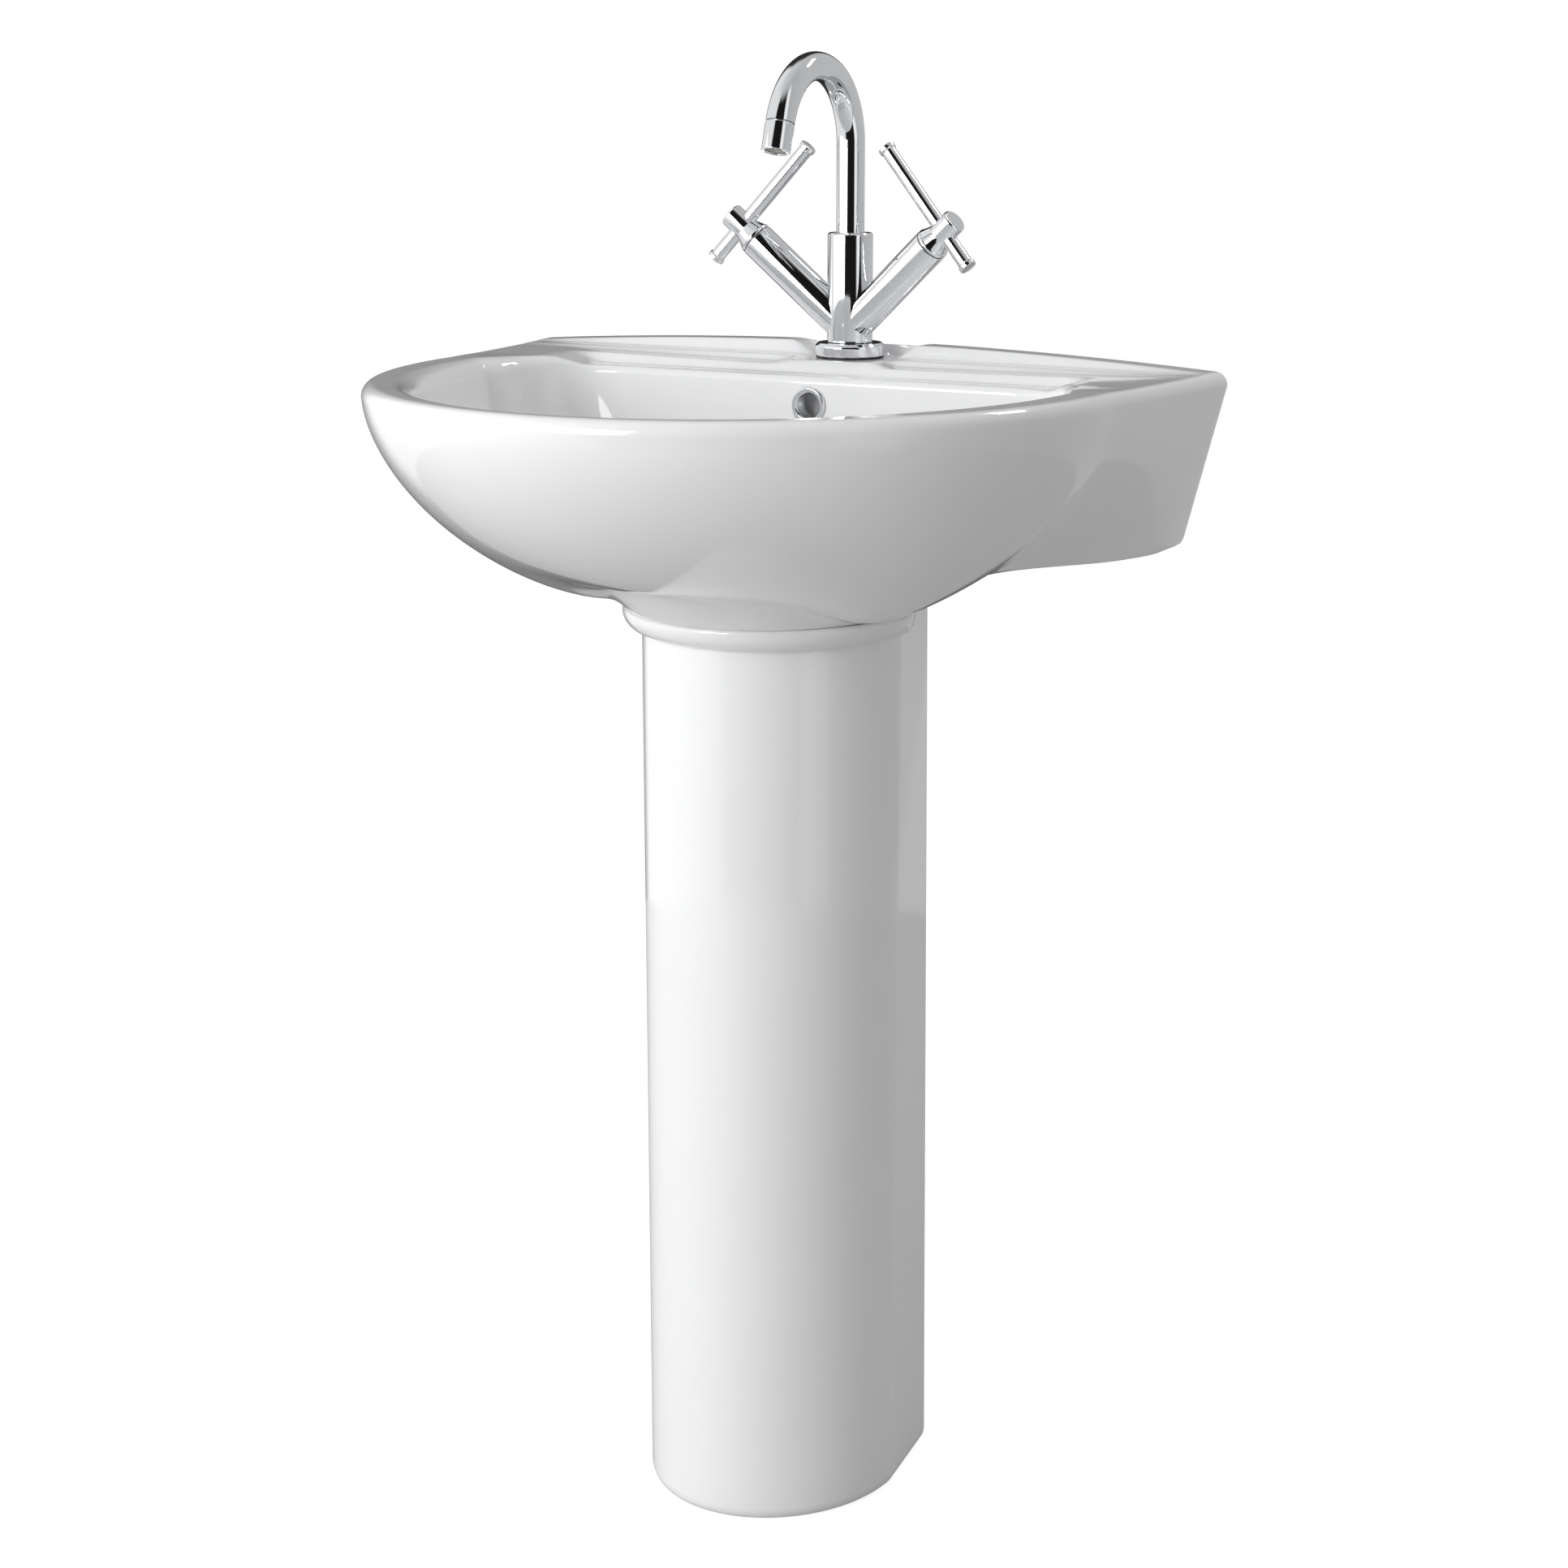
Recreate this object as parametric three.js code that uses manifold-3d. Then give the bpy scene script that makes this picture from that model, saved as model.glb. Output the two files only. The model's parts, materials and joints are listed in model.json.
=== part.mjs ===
// Pedestal basin with a one-hole mixer tap, bottle trap and fixings.
// Millimetres, +Z up. The floor is Z = 0, the wall is Y = +WALL_Y and the front faces -Y.
import * as THREE from 'three';
import { mergeVertices } from 'three/addons/utils/BufferGeometryUtils.js';
import Module from 'manifold-3d';

const wasm = await Module();
wasm.setup();

// Driving dimensions.
const RIM_Z = 838;
const FRONT_Y = -232.5;
const WALL_Y = 232.5;
const GAP = 0.3;
const QUARTER = Math.PI / 2;

// Basin, in plan: a half ellipse in front, flared sides and a straight back.
const BASIN = { half: 268, waist: 58, front: FRONT_Y, backHalf: 286, back: WALL_Y, corner: 10 };
const BOWL = { half: 228, waist: 58, front: -206, backHalf: 222, back: 134, corner: 60 };
const NECK_TOP = { half: 112, waist: 88, front: -62, backHalf: 78, back: 177, corner: 6 };
const NECK = { half: 105, waist: 88, front: -33, backHalf: 76, back: 177, corner: 6 };
const NECK_POCKET = { half: 88, waist: 88, front: -16, backHalf: 60, back: 190, corner: 6 };
const NECK_Z = RIM_Z - 166;
const RIM_RADIUS = 9;
const FRONT_DEPTH = 138;
const SIDE_DEPTH = 165;
const CORNER_DEPTH = 127;
const BELLY_Y = [FRONT_Y, -40];
const BOXY_Y = [45, 202];
const SHALLOW_Y = [-109, 242];
const BACK_TAPER = 0.11;
const BELLY_POWER = 1.65;
const BOWL_FLOOR_Z = RIM_Z - 139;
const BOWL_EDGE = 5;
const BASIN_WALL = 12;
const POCKET_Z = RIM_Z - 153;
const CAVITY_TOP_Z = RIM_Z - 20;
const OVERFLOW = { y: 134.2, z: RIM_Z - 29.5 };

// Tap deck behind the bowl: a ledge, three low steps and a raised back lip.
const DECK_Y = [67, 113];
const LEDGE_DROP = 8.5;
const LOW_TREAD = -3.2;
const HIGH_TREAD = 1.1;
const LIP_RISE = 10.5;
const STEP_Y = [157.5, 182.5, 203.5];
const STEP_RUN = 9;
const LEDGE_END = [188, 213];
const PLATFORM_HALF = [31, 54];
const PLATFORM_Y = [159, 167, 224, 230];

// Pedestal: a column with an open back and a rolled lip that the neck sits on.
const FOOT = { half: 95.5, waist: 92, front: -18, backHalf: 83, back: 177, corner: 5 };
const HEAD = { half: 97, waist: 92, front: -18, backHalf: 78, back: 177, corner: 5 };
const LIP_OUT = 14;
const LIP_FADE = [60, 145];
const PEDESTAL_WALL = 12;
const PEDESTAL_TOP = NECK_Z - GAP;
const LUG = { x: 56, y: 144, half: 13, height: 14 };

// Waste and bottle trap.
const WASTE_Y = 58;
const WASTE_HOLE = 23;
const WASTE_TUBE = 21;
const WASTE_BORE = 18;
const BOSS_RADIUS = 36;
const BOSS_Z = RIM_Z - 176;
const DUCT_Z = RIM_Z - 164;
const WASTE_BOTTOM = RIM_Z - 228;
const OUTLET_Z = RIM_Z - 283;
const OUTLET_RADIUS = 16;

// Tap, measured from the platform and from the tap's own vertical axis.
const TAP_Y = 198;
const FLANGE_RADIUS = 25.5;
const FLANGE_TOP = 11.5;
const SPIGOT_RADIUS = 13.6;
const COLUMN_RADIUS = 16.6;
const COLUMN_TOP = 91;
const ARM_ANGLE = THREE.MathUtils.degToRad(41.6);
const ARM_LEAN = THREE.MathUtils.degToRad(9.5);
const ARM_Z = 20;
const ARM_RADIUS = 13;
const ARM_END = 97;
const ARM_BORE = 10.3;
const CARTRIDGE_FOOT = 43;
const CARTRIDGE_TOP = 80;
const HUB_RADIUS = 9;
const HUB_END = 125;
const BAR_AT = 112;
const BAR_RADIUS = 5.3;
const BAR_LONG = 78;
const BAR_SHORT = 33;
const PIPE_RADIUS = 10.3;
const PIPE_BORE = 8.5;
const SPOUT_BORE = 13;
const SPOUT_FOOT = 55;
const SPRING_Z = 155;
const SPOUT_BEND = 55;
const SPOUT_SWEEP = THREE.MathUtils.degToRad(162);
const AERATOR_LENGTH = 21;
const TAP_HOLE = 17.5;
const STUD_Y = -7.5;
const NIPPLE_X = 6.5;
const NIPPLE_Y = 4.5;
const CLAMP_Z = CAVITY_TOP_Z - RIM_Z;

// Wall bolts.
const BOLT_X = 150;
const BOLT_Z = RIM_Z - 72;

// Steps round a ring of the basin or the pedestal, for half the outline.
const FRONT_STEPS = 10;
const SIDE_STEPS = 2;
const CORNER_STEPS = 3;
const BACK_STEPS = 5;
const RING = 2 * (FRONT_STEPS + SIDE_STEPS + CORNER_STEPS + BACK_STEPS);

// ---- geometry helpers ----

function lerp(a, b, t) {
  return a + (b - a) * t;
}

function smooth(low, high, value) {
  return THREE.MathUtils.smoothstep(value, low, high);
}

// A closed geometry with shared corners, no empty triangles and its faces pointing out.
function clean(geometry) {
  const bare = geometry.clone();
  bare.deleteAttribute('normal');
  bare.deleteAttribute('uv');
  const merged = mergeVertices(bare, 1e-4);
  const at = merged.attributes.position;
  const index = merged.index.array;
  const kept = [];
  let volume = 0;
  for (let i = 0; i < index.length; i += 3) {
    const [a, b, c] = [index[i], index[i + 1], index[i + 2]];
    if (a === b || b === c || c === a) {
      continue;
    }
    kept.push(a, b, c);
    const [pa, pb, pc] = [a, b, c].map((k) => new THREE.Vector3().fromBufferAttribute(at, k));
    volume += pa.dot(pb.cross(pc));
  }
  if (volume < 0) {
    kept.reverse();
  }
  merged.setIndex(kept);
  return merged;
}

function solid(geometry) {
  const closed = clean(geometry);
  const vertProperties = new Float32Array(closed.attributes.position.array);
  const triVerts = new Uint32Array(closed.index.array);
  return new wasm.Manifold(new wasm.Mesh({ numProp: 3, vertProperties, triVerts }));
}

function geometryOf(manifold) {
  const mesh = manifold.getMesh();
  const geometry = new THREE.BufferGeometry();
  const places = new Float32Array(mesh.vertProperties);
  geometry.setAttribute('position', new THREE.BufferAttribute(places, mesh.numProp));
  geometry.setIndex(new THREE.BufferAttribute(new Uint32Array(mesh.triVerts), 1));
  return geometry;
}

function cut(body, ...tools) {
  return tools.reduce((left, tool) => left.subtract(tool), body);
}

function join(body, ...others) {
  return others.reduce((whole, other) => whole.add(other), body);
}

// A turned piece about +Z. The profile is a list of [radius, height] that closes on itself.
function turned(profile, segments = 16) {
  const points = [...profile, profile[0]].map(([r, h]) => new THREE.Vector2(r, h));
  return new THREE.LatheGeometry(points, segments).rotateX(QUARTER);
}

function disc(radius, low, high, segments = 16) {
  return turned([[0, low], [radius, low], [radius, high], [0, high]], segments);
}

function ring(inner, outer, low, high, segments = 16) {
  return turned([[inner, low], [outer, low], [outer, high], [inner, high]], segments);
}

function torus(middle, thickness, height, segments = 14) {
  const profile = [];
  const sides = 6;
  for (let i = 0; i < sides; i += 1) {
    const angle = (i / sides) * 2 * Math.PI;
    profile.push([middle + thickness * Math.cos(angle), height + thickness * Math.sin(angle)]);
  }
  return turned(profile, segments);
}

function box(low, high) {
  const size = high.map((value, i) => value - low[i]);
  const middle = high.map((value, i) => (value + low[i]) / 2);
  return new THREE.BoxGeometry(...size).translate(...middle);
}

// A hexagonal nut with a round bore, standing on `low`.
function nut(acrossFlats, bore, low, high, segments = 20) {
  const shape = new THREE.Shape();
  for (let i = 0; i < 6; i += 1) {
    const angle = (i * Math.PI) / 3;
    const reach = acrossFlats / 2 / Math.cos(Math.PI / 6);
    const point = [reach * Math.cos(angle), reach * Math.sin(angle)];
    if (i === 0) {
      shape.moveTo(...point);
    } else {
      shape.lineTo(...point);
    }
  }
  shape.closePath();
  const hole = new THREE.Path().absarc(0, 0, bore, 0, 2 * Math.PI, true);
  shape.holes.push(hole);
  const options = { depth: high - low, bevelEnabled: false, curveSegments: segments };
  return new THREE.ExtrudeGeometry(shape, options).translate(0, 0, low);
}

// Rings of the same number of points, skinned and closed with a fan at each end.
function loft(rings) {
  const count = rings[0].length;
  const places = rings.flat().flat();
  const faces = [];
  for (let r = 0; r < rings.length - 1; r += 1) {
    for (let j = 0; j < count; j += 1) {
      const next = (j + 1) % count;
      const [a, b] = [r * count + j, r * count + next];
      const [c, d] = [a + count, b + count];
      faces.push(a, b, d, a, d, c);
    }
  }
  for (const [r, flip] of [[0, true], [rings.length - 1, false]]) {
    const middle = [0, 1, 2].map((k) => rings[r].reduce((sum, p) => sum + p[k], 0) / count);
    const centre = places.length / 3;
    places.push(...middle);
    for (let j = 0; j < count; j += 1) {
      const [a, b] = [r * count + j, r * count + ((j + 1) % count)];
      faces.push(centre, flip ? b : a, flip ? a : b);
    }
  }
  const geometry = new THREE.BufferGeometry();
  geometry.setAttribute('position', new THREE.Float32BufferAttribute(places, 3));
  geometry.setIndex(faces);
  return geometry;
}

// A D-shaped outline from the front centre round by +X, as [x, y] points.
function outline({ half, waist, front, backHalf, back, corner }) {
  const side = [];
  for (let i = 0; i <= FRONT_STEPS; i += 1) {
    const angle = (i / FRONT_STEPS) * QUARTER;
    side.push([half * Math.sin(angle), waist - (waist - front) * Math.cos(angle)]);
  }
  for (let i = 1; i <= SIDE_STEPS; i += 1) {
    const t = i / SIDE_STEPS;
    side.push([lerp(half, backHalf, t), lerp(waist, back - corner, t)]);
  }
  for (let i = 1; i <= CORNER_STEPS; i += 1) {
    const angle = (i / CORNER_STEPS) * QUARTER;
    side.push([backHalf - corner + corner * Math.cos(angle), back - corner + corner * Math.sin(angle)]);
  }
  for (let i = 1; i <= BACK_STEPS; i += 1) {
    side.push([(backHalf - corner) * (1 - i / BACK_STEPS), back]);
  }
  const mirrored = side.slice(1, -1).reverse().map(([x, y]) => [-x, y]);
  return [...side, ...mirrored];
}

function circle(radius, y) {
  return Array.from({ length: RING }, (_, j) => {
    const angle = (j / RING) * 2 * Math.PI;
    return [radius * Math.sin(angle), y - radius * Math.cos(angle)];
  });
}

// The same outline with every side moved in by `inset`, or out if it is negative.
function moved(shape, inset) {
  return {
    half: shape.half - inset,
    waist: shape.waist,
    front: shape.front + inset,
    backHalf: shape.backHalf - inset,
    back: shape.back - inset,
    corner: Math.max(shape.corner - inset, 1),
  };
}

// ---- ceramic ----

// Height of the basin's top surface above the rim.
function deckRise(x, y) {
  const arch = 1 - (x / BASIN.backHalf) ** 2;
  const ends = smooth(...LEDGE_END, Math.abs(x));
  const treads = [LOW_TREAD, HIGH_TREAD, LIP_RISE].map((tread) => tread * arch);
  const levels = [lerp(-LEDGE_DROP, treads[0], ends), ...treads];
  let rise = levels[0];
  STEP_Y.forEach((middle, i) => {
    rise += (levels[i + 1] - levels[i]) * smooth(middle - STEP_RUN / 2, middle + STEP_RUN / 2, y);
  });
  const [front, level, end, back] = PLATFORM_Y;
  const across = 1 - smooth(...PLATFORM_HALF, Math.abs(x));
  const platform = across * smooth(front, level, y) * (1 - smooth(end, back, y));
  return lerp(rise, 0, platform) * smooth(...DECK_Y, y);
}

// How far round to the boxy back a rim point at `y` is, and how deep the outside is there.
function outerShape(y) {
  const belly = lerp(FRONT_DEPTH, SIDE_DEPTH, smooth(...BELLY_Y, y));
  return { boxy: smooth(...BOXY_Y, y), depth: lerp(belly, CORNER_DEPTH, smooth(...SHALLOW_Y, y)) };
}

// One ring of the outside, from the rim (t = 0) to the top of the neck (t = 1).
function outerRing(t) {
  const rim = outline(BASIN);
  const neck = outline(NECK_TOP);
  const angle = t * QUARTER;
  const round = [Math.cos(angle), Math.sin(angle)].map((v) => Math.max(v, 0) ** (2 / BELLY_POWER));
  const wall = 0.7;
  const square = [t < wall ? 1 : 1 - (t - wall) / (1 - wall), Math.min(t / wall, 1)];
  return rim.map(([x, y], j) => {
    const { boxy, depth } = outerShape(y);
    const [out, down] = [0, 1].map((k) => lerp(round[k], square[k], boxy));
    const narrow = 1 - BACK_TAPER * down * boxy;
    const z = RIM_Z - RIM_RADIUS - (depth - RIM_RADIUS) * down;
    return [lerp(neck[j][0], x * narrow, out), lerp(neck[j][1], y, out), z];
  });
}

function basinOutside() {
  const neck = outline(NECK);
  const rings = [neck.map(([x, y]) => [x, y, NECK_Z])];
  for (const t of [1, 0.85, 0.7, 0.55, 0.4, 0.25, 0.12, 0]) {
    rings.push(outerRing(t));
  }
  for (const angle of [45, 90].map(THREE.MathUtils.degToRad)) {
    const inset = RIM_RADIUS * (1 - Math.cos(angle));
    const drop = RIM_RADIUS * (1 - Math.sin(angle));
    const rise = ([x, y]) => [x, y, RIM_Z + deckRise(x, y) - drop];
    rings.push(outline(moved(BASIN, inset)).map(rise));
  }
  const edge = outline(moved(BASIN, RIM_RADIUS));
  const mouth = outline(BOWL);
  for (const t of [0.17, 0.28, 0.41, 0.51, 0.69, 0.79, 1.05]) {
    rings.push(edge.map(([x, y], j) => {
      const [px, py] = [lerp(x, mouth[j][0], t), lerp(y, mouth[j][1], t)];
      return [px, py, RIM_Z + deckRise(px, py)];
    }));
  }
  return loft(rings);
}

// The hollow of the bowl, grown by `wall` for the outside of its own wall.
function bowlHollow(wall = 0) {
  const mouth = outline(moved(BOWL, -wall));
  const hole = circle(WASTE_HOLE + wall, WASTE_Y);
  const rings = [];
  for (const t of [1, 0.84, 0.68, 0.52, 0.36, 0.2, 0.07, 0]) {
    const [out, down] = [Math.cos(t * QUARTER), Math.sin(t * QUARTER)];
    rings.push(mouth.map(([x, y], j) => {
      const top = RIM_Z + deckRise(x, y) - BOWL_EDGE;
      const floor = BOWL_FLOOR_Z - wall;
      return [lerp(hole[j][0], x, out), lerp(hole[j][1], y, out), lerp(top, floor, down)];
    }));
  }
  const lip = outline(moved(BOWL, -wall - BOWL_EDGE));
  rings.push(lip.map(([x, y]) => [x, y, RIM_Z + deckRise(x, y) + GAP]));
  rings.push(lip.map(([x, y]) => [x, y, RIM_Z + 40]));
  return loft(rings);
}

// The space under the tap deck, open below, between the bowl and the back panel.
function basinCavity() {
  const low = { half: 150, waist: 140, front: 118, backHalf: 205, back: WALL_Y - BASIN_WALL, corner: 8 };
  const high = { ...low, half: 225, backHalf: 250 };
  const rings = [
    outline(low).map(([x, y]) => [x, y, NECK_Z - 50]),
    outline(low).map(([x, y]) => [x, y, RIM_Z - 100]),
    outline(high).map(([x, y]) => [x, y, CAVITY_TOP_Z]),
  ];
  const duct = solid(box([-24, WASTE_Y, BOSS_Z], [24, 164, CAVITY_TOP_Z + 5]));
  return cut(solid(loft(rings)), solid(bowlHollow(BASIN_WALL)), duct);
}

// The overflow's way down inside the ceramic, from the hole behind the bowl to the waste.
function overflowChannel() {
  const fall = box([-15, 143, DUCT_Z], [15, 154, RIM_Z - 17]);
  const run = box([-15, WASTE_Y, DUCT_Z], [15, 154, DUCT_Z + 10]);
  const hole = disc(11.6, 0, 36, 24).rotateX(-QUARTER).translate(0, 112, OVERFLOW.z);
  return join(solid(fall), solid(run), solid(hole));
}

// An upright solid with the same outline all the way from `low` to `high`.
function upright(points, low, high) {
  return solid(loft([low, high].map((z) => points.map(([x, y]) => [x, y, z]))));
}

function basin() {
  const hollow = upright(outline(NECK_POCKET), NECK_Z - 10, POCKET_Z);
  const neckWall = cut(upright(outline(NECK), NECK_Z, RIM_Z - 125), hollow);
  const boss = upright(circle(BOSS_RADIUS, WASTE_Y), BOSS_Z, POCKET_Z + 10);
  const wasteHole = disc(WASTE_HOLE, BOSS_Z - 10, BOWL_FLOOR_Z + 5, 32).translate(0, WASTE_Y, 0);
  const wasteSeat = disc(33, BOWL_FLOOR_Z, BOWL_FLOOR_Z + 6, 32).translate(0, WASTE_Y, 0);
  const ringSeat = disc(14, 0, 8, 24).rotateX(QUARTER).translate(0, OVERFLOW.y, OVERFLOW.z);
  const tapHole = disc(TAP_HOLE, RIM_Z - 60, RIM_Z + 20, 28).translate(0, TAP_Y, 0);
  const tapSeat = disc(FLANGE_RADIUS + 0.6, RIM_Z, RIM_Z + 30, 32).translate(0, TAP_Y, 0);
  const tools = [wasteHole, wasteSeat, ringSeat, tapHole, tapSeat];
  for (const x of [-BOLT_X, BOLT_X]) {
    tools.push(disc(7, 0, 40, 16).rotateX(-QUARTER).translate(x, WALL_Y - 20, BOLT_Z));
  }
  let body = join(cut(solid(basinOutside()), basinCavity()), neckWall);
  body = join(cut(body, hollow), boss);
  body = cut(body, solid(bowlHollow()), overflowChannel(), ...tools.map(solid));
  return geometryOf(body);
}

// The column's outline at a height, with the lip's share added in front and at the sides.
function pedestalRing(z, inset, lip) {
  const shape = {};
  for (const key of Object.keys(FOOT)) {
    shape[key] = lerp(FOOT[key], HEAD[key], z / PEDESTAL_TOP);
  }
  return outline(moved(shape, inset)).map(([x, y]) => {
    const reach = Math.hypot(x, y - FOOT.waist);
    const scale = (reach + lip * (1 - smooth(...LIP_FADE, y))) / reach;
    return [x * scale, FOOT.waist + (y - FOOT.waist) * (y < FOOT.waist ? scale : 1), z];
  });
}

function pedestal() {
  const rings = [pedestalRing(0, 6, 0), pedestalRing(3, 2, 0), pedestalRing(10, 0, 0)];
  const lip = [[-17, 0], [-16, 5], [-12, 10.5], [-6, LIP_OUT - 0.5], [-2, LIP_OUT], [0, LIP_OUT - 1.5]];
  for (const [below, out] of lip) {
    rings.push(pedestalRing(PEDESTAL_TOP + below, 0, out));
  }
  const inside = { ...moved(FOOT, PEDESTAL_WALL), back: FOOT.back + 20 };
  let body = cut(solid(loft(rings)), upright(outline(inside), -10, PEDESTAL_TOP + 10));
  for (const side of [-1, 1]) {
    const inner = LUG.x - LUG.half;
    const outer = FOOT.backHalf - 4;
    const low = [Math.min(side * inner, side * outer), LUG.y - LUG.half, 0];
    const high = [Math.max(side * inner, side * outer), LUG.y + LUG.half, LUG.height];
    body = join(body, solid(box(low, high)));
    body = cut(body, solid(disc(3.6, -5, 30, 16).translate(side * LUG.x, LUG.y, 0)));
  }
  return geometryOf(body);
}

// ---- waste and trap ----

function overflowRing() {
  return turned([
    [9, -10], [11.2, -10], [11.2, GAP], [13.6, GAP], [13.6, 1.6], [12.6, 2.6], [10.2, 2.6], [9, 1.4],
  ], 24);
}

function wasteBody() {
  const top = BOWL_FLOOR_Z + 4.3;
  const tube = turned([
    [WASTE_BORE, WASTE_BOTTOM], [WASTE_TUBE, WASTE_BOTTOM], [WASTE_TUBE, top - 3], [31, top - 3],
    [31, top - 0.8], [29, top], [20, top], [WASTE_BORE, top - 2],
  ], 24);
  const low = BOSS_Z - 12;
  const bars = [
    box([-18.5, -1.5, low], [18.5, 1.5, low + 8]),
    box([-1.5, -18.5, low], [1.5, 18.5, low + 8]),
  ];
  const hub = solid(disc(8, low - 2, low + 10, 20));
  const bore = solid(disc(5.3, low - 10, low + 20, 20));
  const slots = [
    box([-30, -6, DUCT_Z + 1], [30, 6, DUCT_Z + 10]),
    box([-6, -30, DUCT_Z + 1], [6, 30, DUCT_Z + 10]),
  ];
  return geometryOf(cut(join(solid(tube), ...bars.map(solid), hub), bore, ...slots.map(solid)));
}

function clickCartridge() {
  const low = BOSS_Z - 16;
  return turned([[0, low], [5, low], [5, low + 28], [3.3, low + 28], [3.3, low + 4], [0, low + 4]], 20);
}

function plugStem() {
  return disc(3, BOSS_Z - 11, BOWL_FLOOR_Z + 5, 16);
}

function plugHead() {
  const seat = BOWL_FLOOR_Z + 4.6;
  const under = seat + 1.5;
  return turned([
    [0, under - 0.8], [3.4, under - 0.8], [3.4, under], [28, under], [29.5, under + 1], [28.8, under + 2.6],
    [24, under + 4.2], [14, under + 5.6], [0, under + 6.2],
  ], 24);
}

function plugSeal() {
  const under = BOWL_FLOOR_Z + 5.8;
  return turned([[21, under - 1.2], [25, under - 1.2], [25.5, under], [20.5, under]]);
}

function trapBody() {
  const top = WASTE_BOTTOM - 3;
  const shoulder = OUTLET_Z + 24;
  const skirt = OUTLET_Z - 30;
  const outside = solid(turned([
    [0, skirt - 14], [26.5, skirt - 14], [26.5, skirt], [30, skirt], [30, shoulder - 5], [26, shoulder + 2],
    [17, shoulder + 5], [16, shoulder + 9], [16, top - 4], [20.6, top - 4], [20.6, top], [0, top],
  ], 18));
  const inside = solid(turned([
    [0, skirt - 20], [23.5, skirt - 20], [23.5, skirt], [27, skirt + 3], [27, shoulder - 8],
    [16, shoulder - 2], [0, shoulder - 2],
  ], 18));
  const dip = solid(disc(16, skirt - 40, shoulder));
  const bore = solid(disc(14, skirt - 50, top + 5));
  const branch = solid(disc(OUTLET_RADIUS, 0, 58).rotateX(-QUARTER).translate(0, 0, OUTLET_Z));
  const branchBore = solid(disc(14, 20, 80).rotateX(-QUARTER).translate(0, 0, OUTLET_Z));
  let body = cut(join(outside, branch), inside);
  body = join(body, dip);
  return geometryOf(cut(body, bore, cut(branchBore, solid(disc(17, skirt - 60, shoulder)))));
}

function trapCup() {
  const skirt = OUTLET_Z - 30;
  const low = skirt - 62;
  return turned([
    [0, low], [20, low + 2], [28, low + 9], [30.5, low + 20], [30.5, skirt - GAP], [26.8, skirt - GAP],
    [26.8, low + 20], [24, low + 12], [18, low + 6], [0, low + 4],
  ], 18);
}

// A compression nut: it grips a lip above `ledge` and clears the pipe below it.
function slipNut(pipe, lip, low, ledge, high, outer) {
  return turned([[pipe, low], [outer, low], [outer, high], [lip, high], [lip, ledge], [pipe, ledge]]);
}

// ---- tap ----

// Turns a piece made about +Z onto an arm's axis; side is -1 for hot and +1 for cold.
function onArm(geometry, side) {
  return geometry.rotateY(side * (QUARTER - ARM_ANGLE)).rotateZ(-side * ARM_LEAN).translate(0, 0, ARM_Z);
}

function tapBody() {
  const column = turned([
    [0, 1.8], [SPIGOT_RADIUS, 1.8], [SPIGOT_RADIUS, FLANGE_TOP], [COLUMN_RADIUS, FLANGE_TOP],
    [COLUMN_RADIUS, COLUMN_TOP - 1.2], [COLUMN_RADIUS - 1.2, COLUMN_TOP], [0, COLUMN_TOP],
  ], 24);
  let body = solid(column);
  for (const side of [-1, 1]) {
    body = join(body, solid(onArm(disc(ARM_RADIUS, 0, ARM_END, 22), side)));
  }
  for (const side of [-1, 1]) {
    body = cut(body, solid(onArm(disc(ARM_BORE, CARTRIDGE_FOOT - 1, ARM_END + 5, 18), side)));
  }
  body = cut(body, solid(disc(SPOUT_BORE, SPOUT_FOOT - 1, COLUMN_TOP + 5, 22)));
  body = cut(body, solid(disc(4.3, 0, 18, 16).translate(0, STUD_Y, 0)));
  for (const x of [-NIPPLE_X, NIPPLE_X]) {
    body = cut(body, solid(disc(5.3, 0, 15, 16).translate(x, NIPPLE_Y, 0)));
  }
  const screwHole = disc(2.3, 10, 25, 12).rotateX(-QUARTER).translate(0, 0, SPOUT_FOOT + 5);
  return geometryOf(cut(body, solid(screwHole)));
}

function baseFlange() {
  const inner = SPIGOT_RADIUS + GAP;
  const top = FLANGE_TOP - GAP;
  return turned([
    [inner, 1.6], [FLANGE_RADIUS - 0.4, 1.6], [FLANGE_RADIUS, 2.2], [FLANGE_RADIUS, top - 2],
    [FLANGE_RADIUS - 2, top], [inner, top],
  ], 28);
}

function horseshoe(low, high) {
  const shape = new THREE.Shape();
  const slot = 13.2;
  const reach = 24;
  const opening = Math.acos(slot / reach);
  shape.absarc(0, 0, reach, Math.PI - opening, 2 * Math.PI + opening, false);
  shape.lineTo(slot, -1);
  shape.lineTo(-slot, -1);
  shape.closePath();
  shape.holes.push(new THREE.Path().absarc(0, STUD_Y, 4.3, 0, 2 * Math.PI, true));
  const options = { depth: high - low, bevelEnabled: false, curveSegments: 14 };
  return new THREE.ExtrudeGeometry(shape, options).translate(0, 0, low);
}

function cartridge() {
  const [low, socket, high] = [CARTRIDGE_FOOT, CARTRIDGE_FOOT + 27, CARTRIDGE_TOP];
  return turned([[0, low], [10, low], [10, high], [4.4, high], [4.4, socket], [0, socket]], 24);
}

function glandNut() {
  const high = ARM_END - 1;
  const low = CARTRIDGE_TOP + GAP;
  return turned([[4.5, low], [10, low], [10, high], [7, high], [7, high - 4], [4.5, high - 4]], 24);
}

function spindle() {
  return disc(4.1, CARTRIDGE_FOOT + 27.4, BAR_AT - BAR_RADIUS - 1, 16);
}

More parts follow.
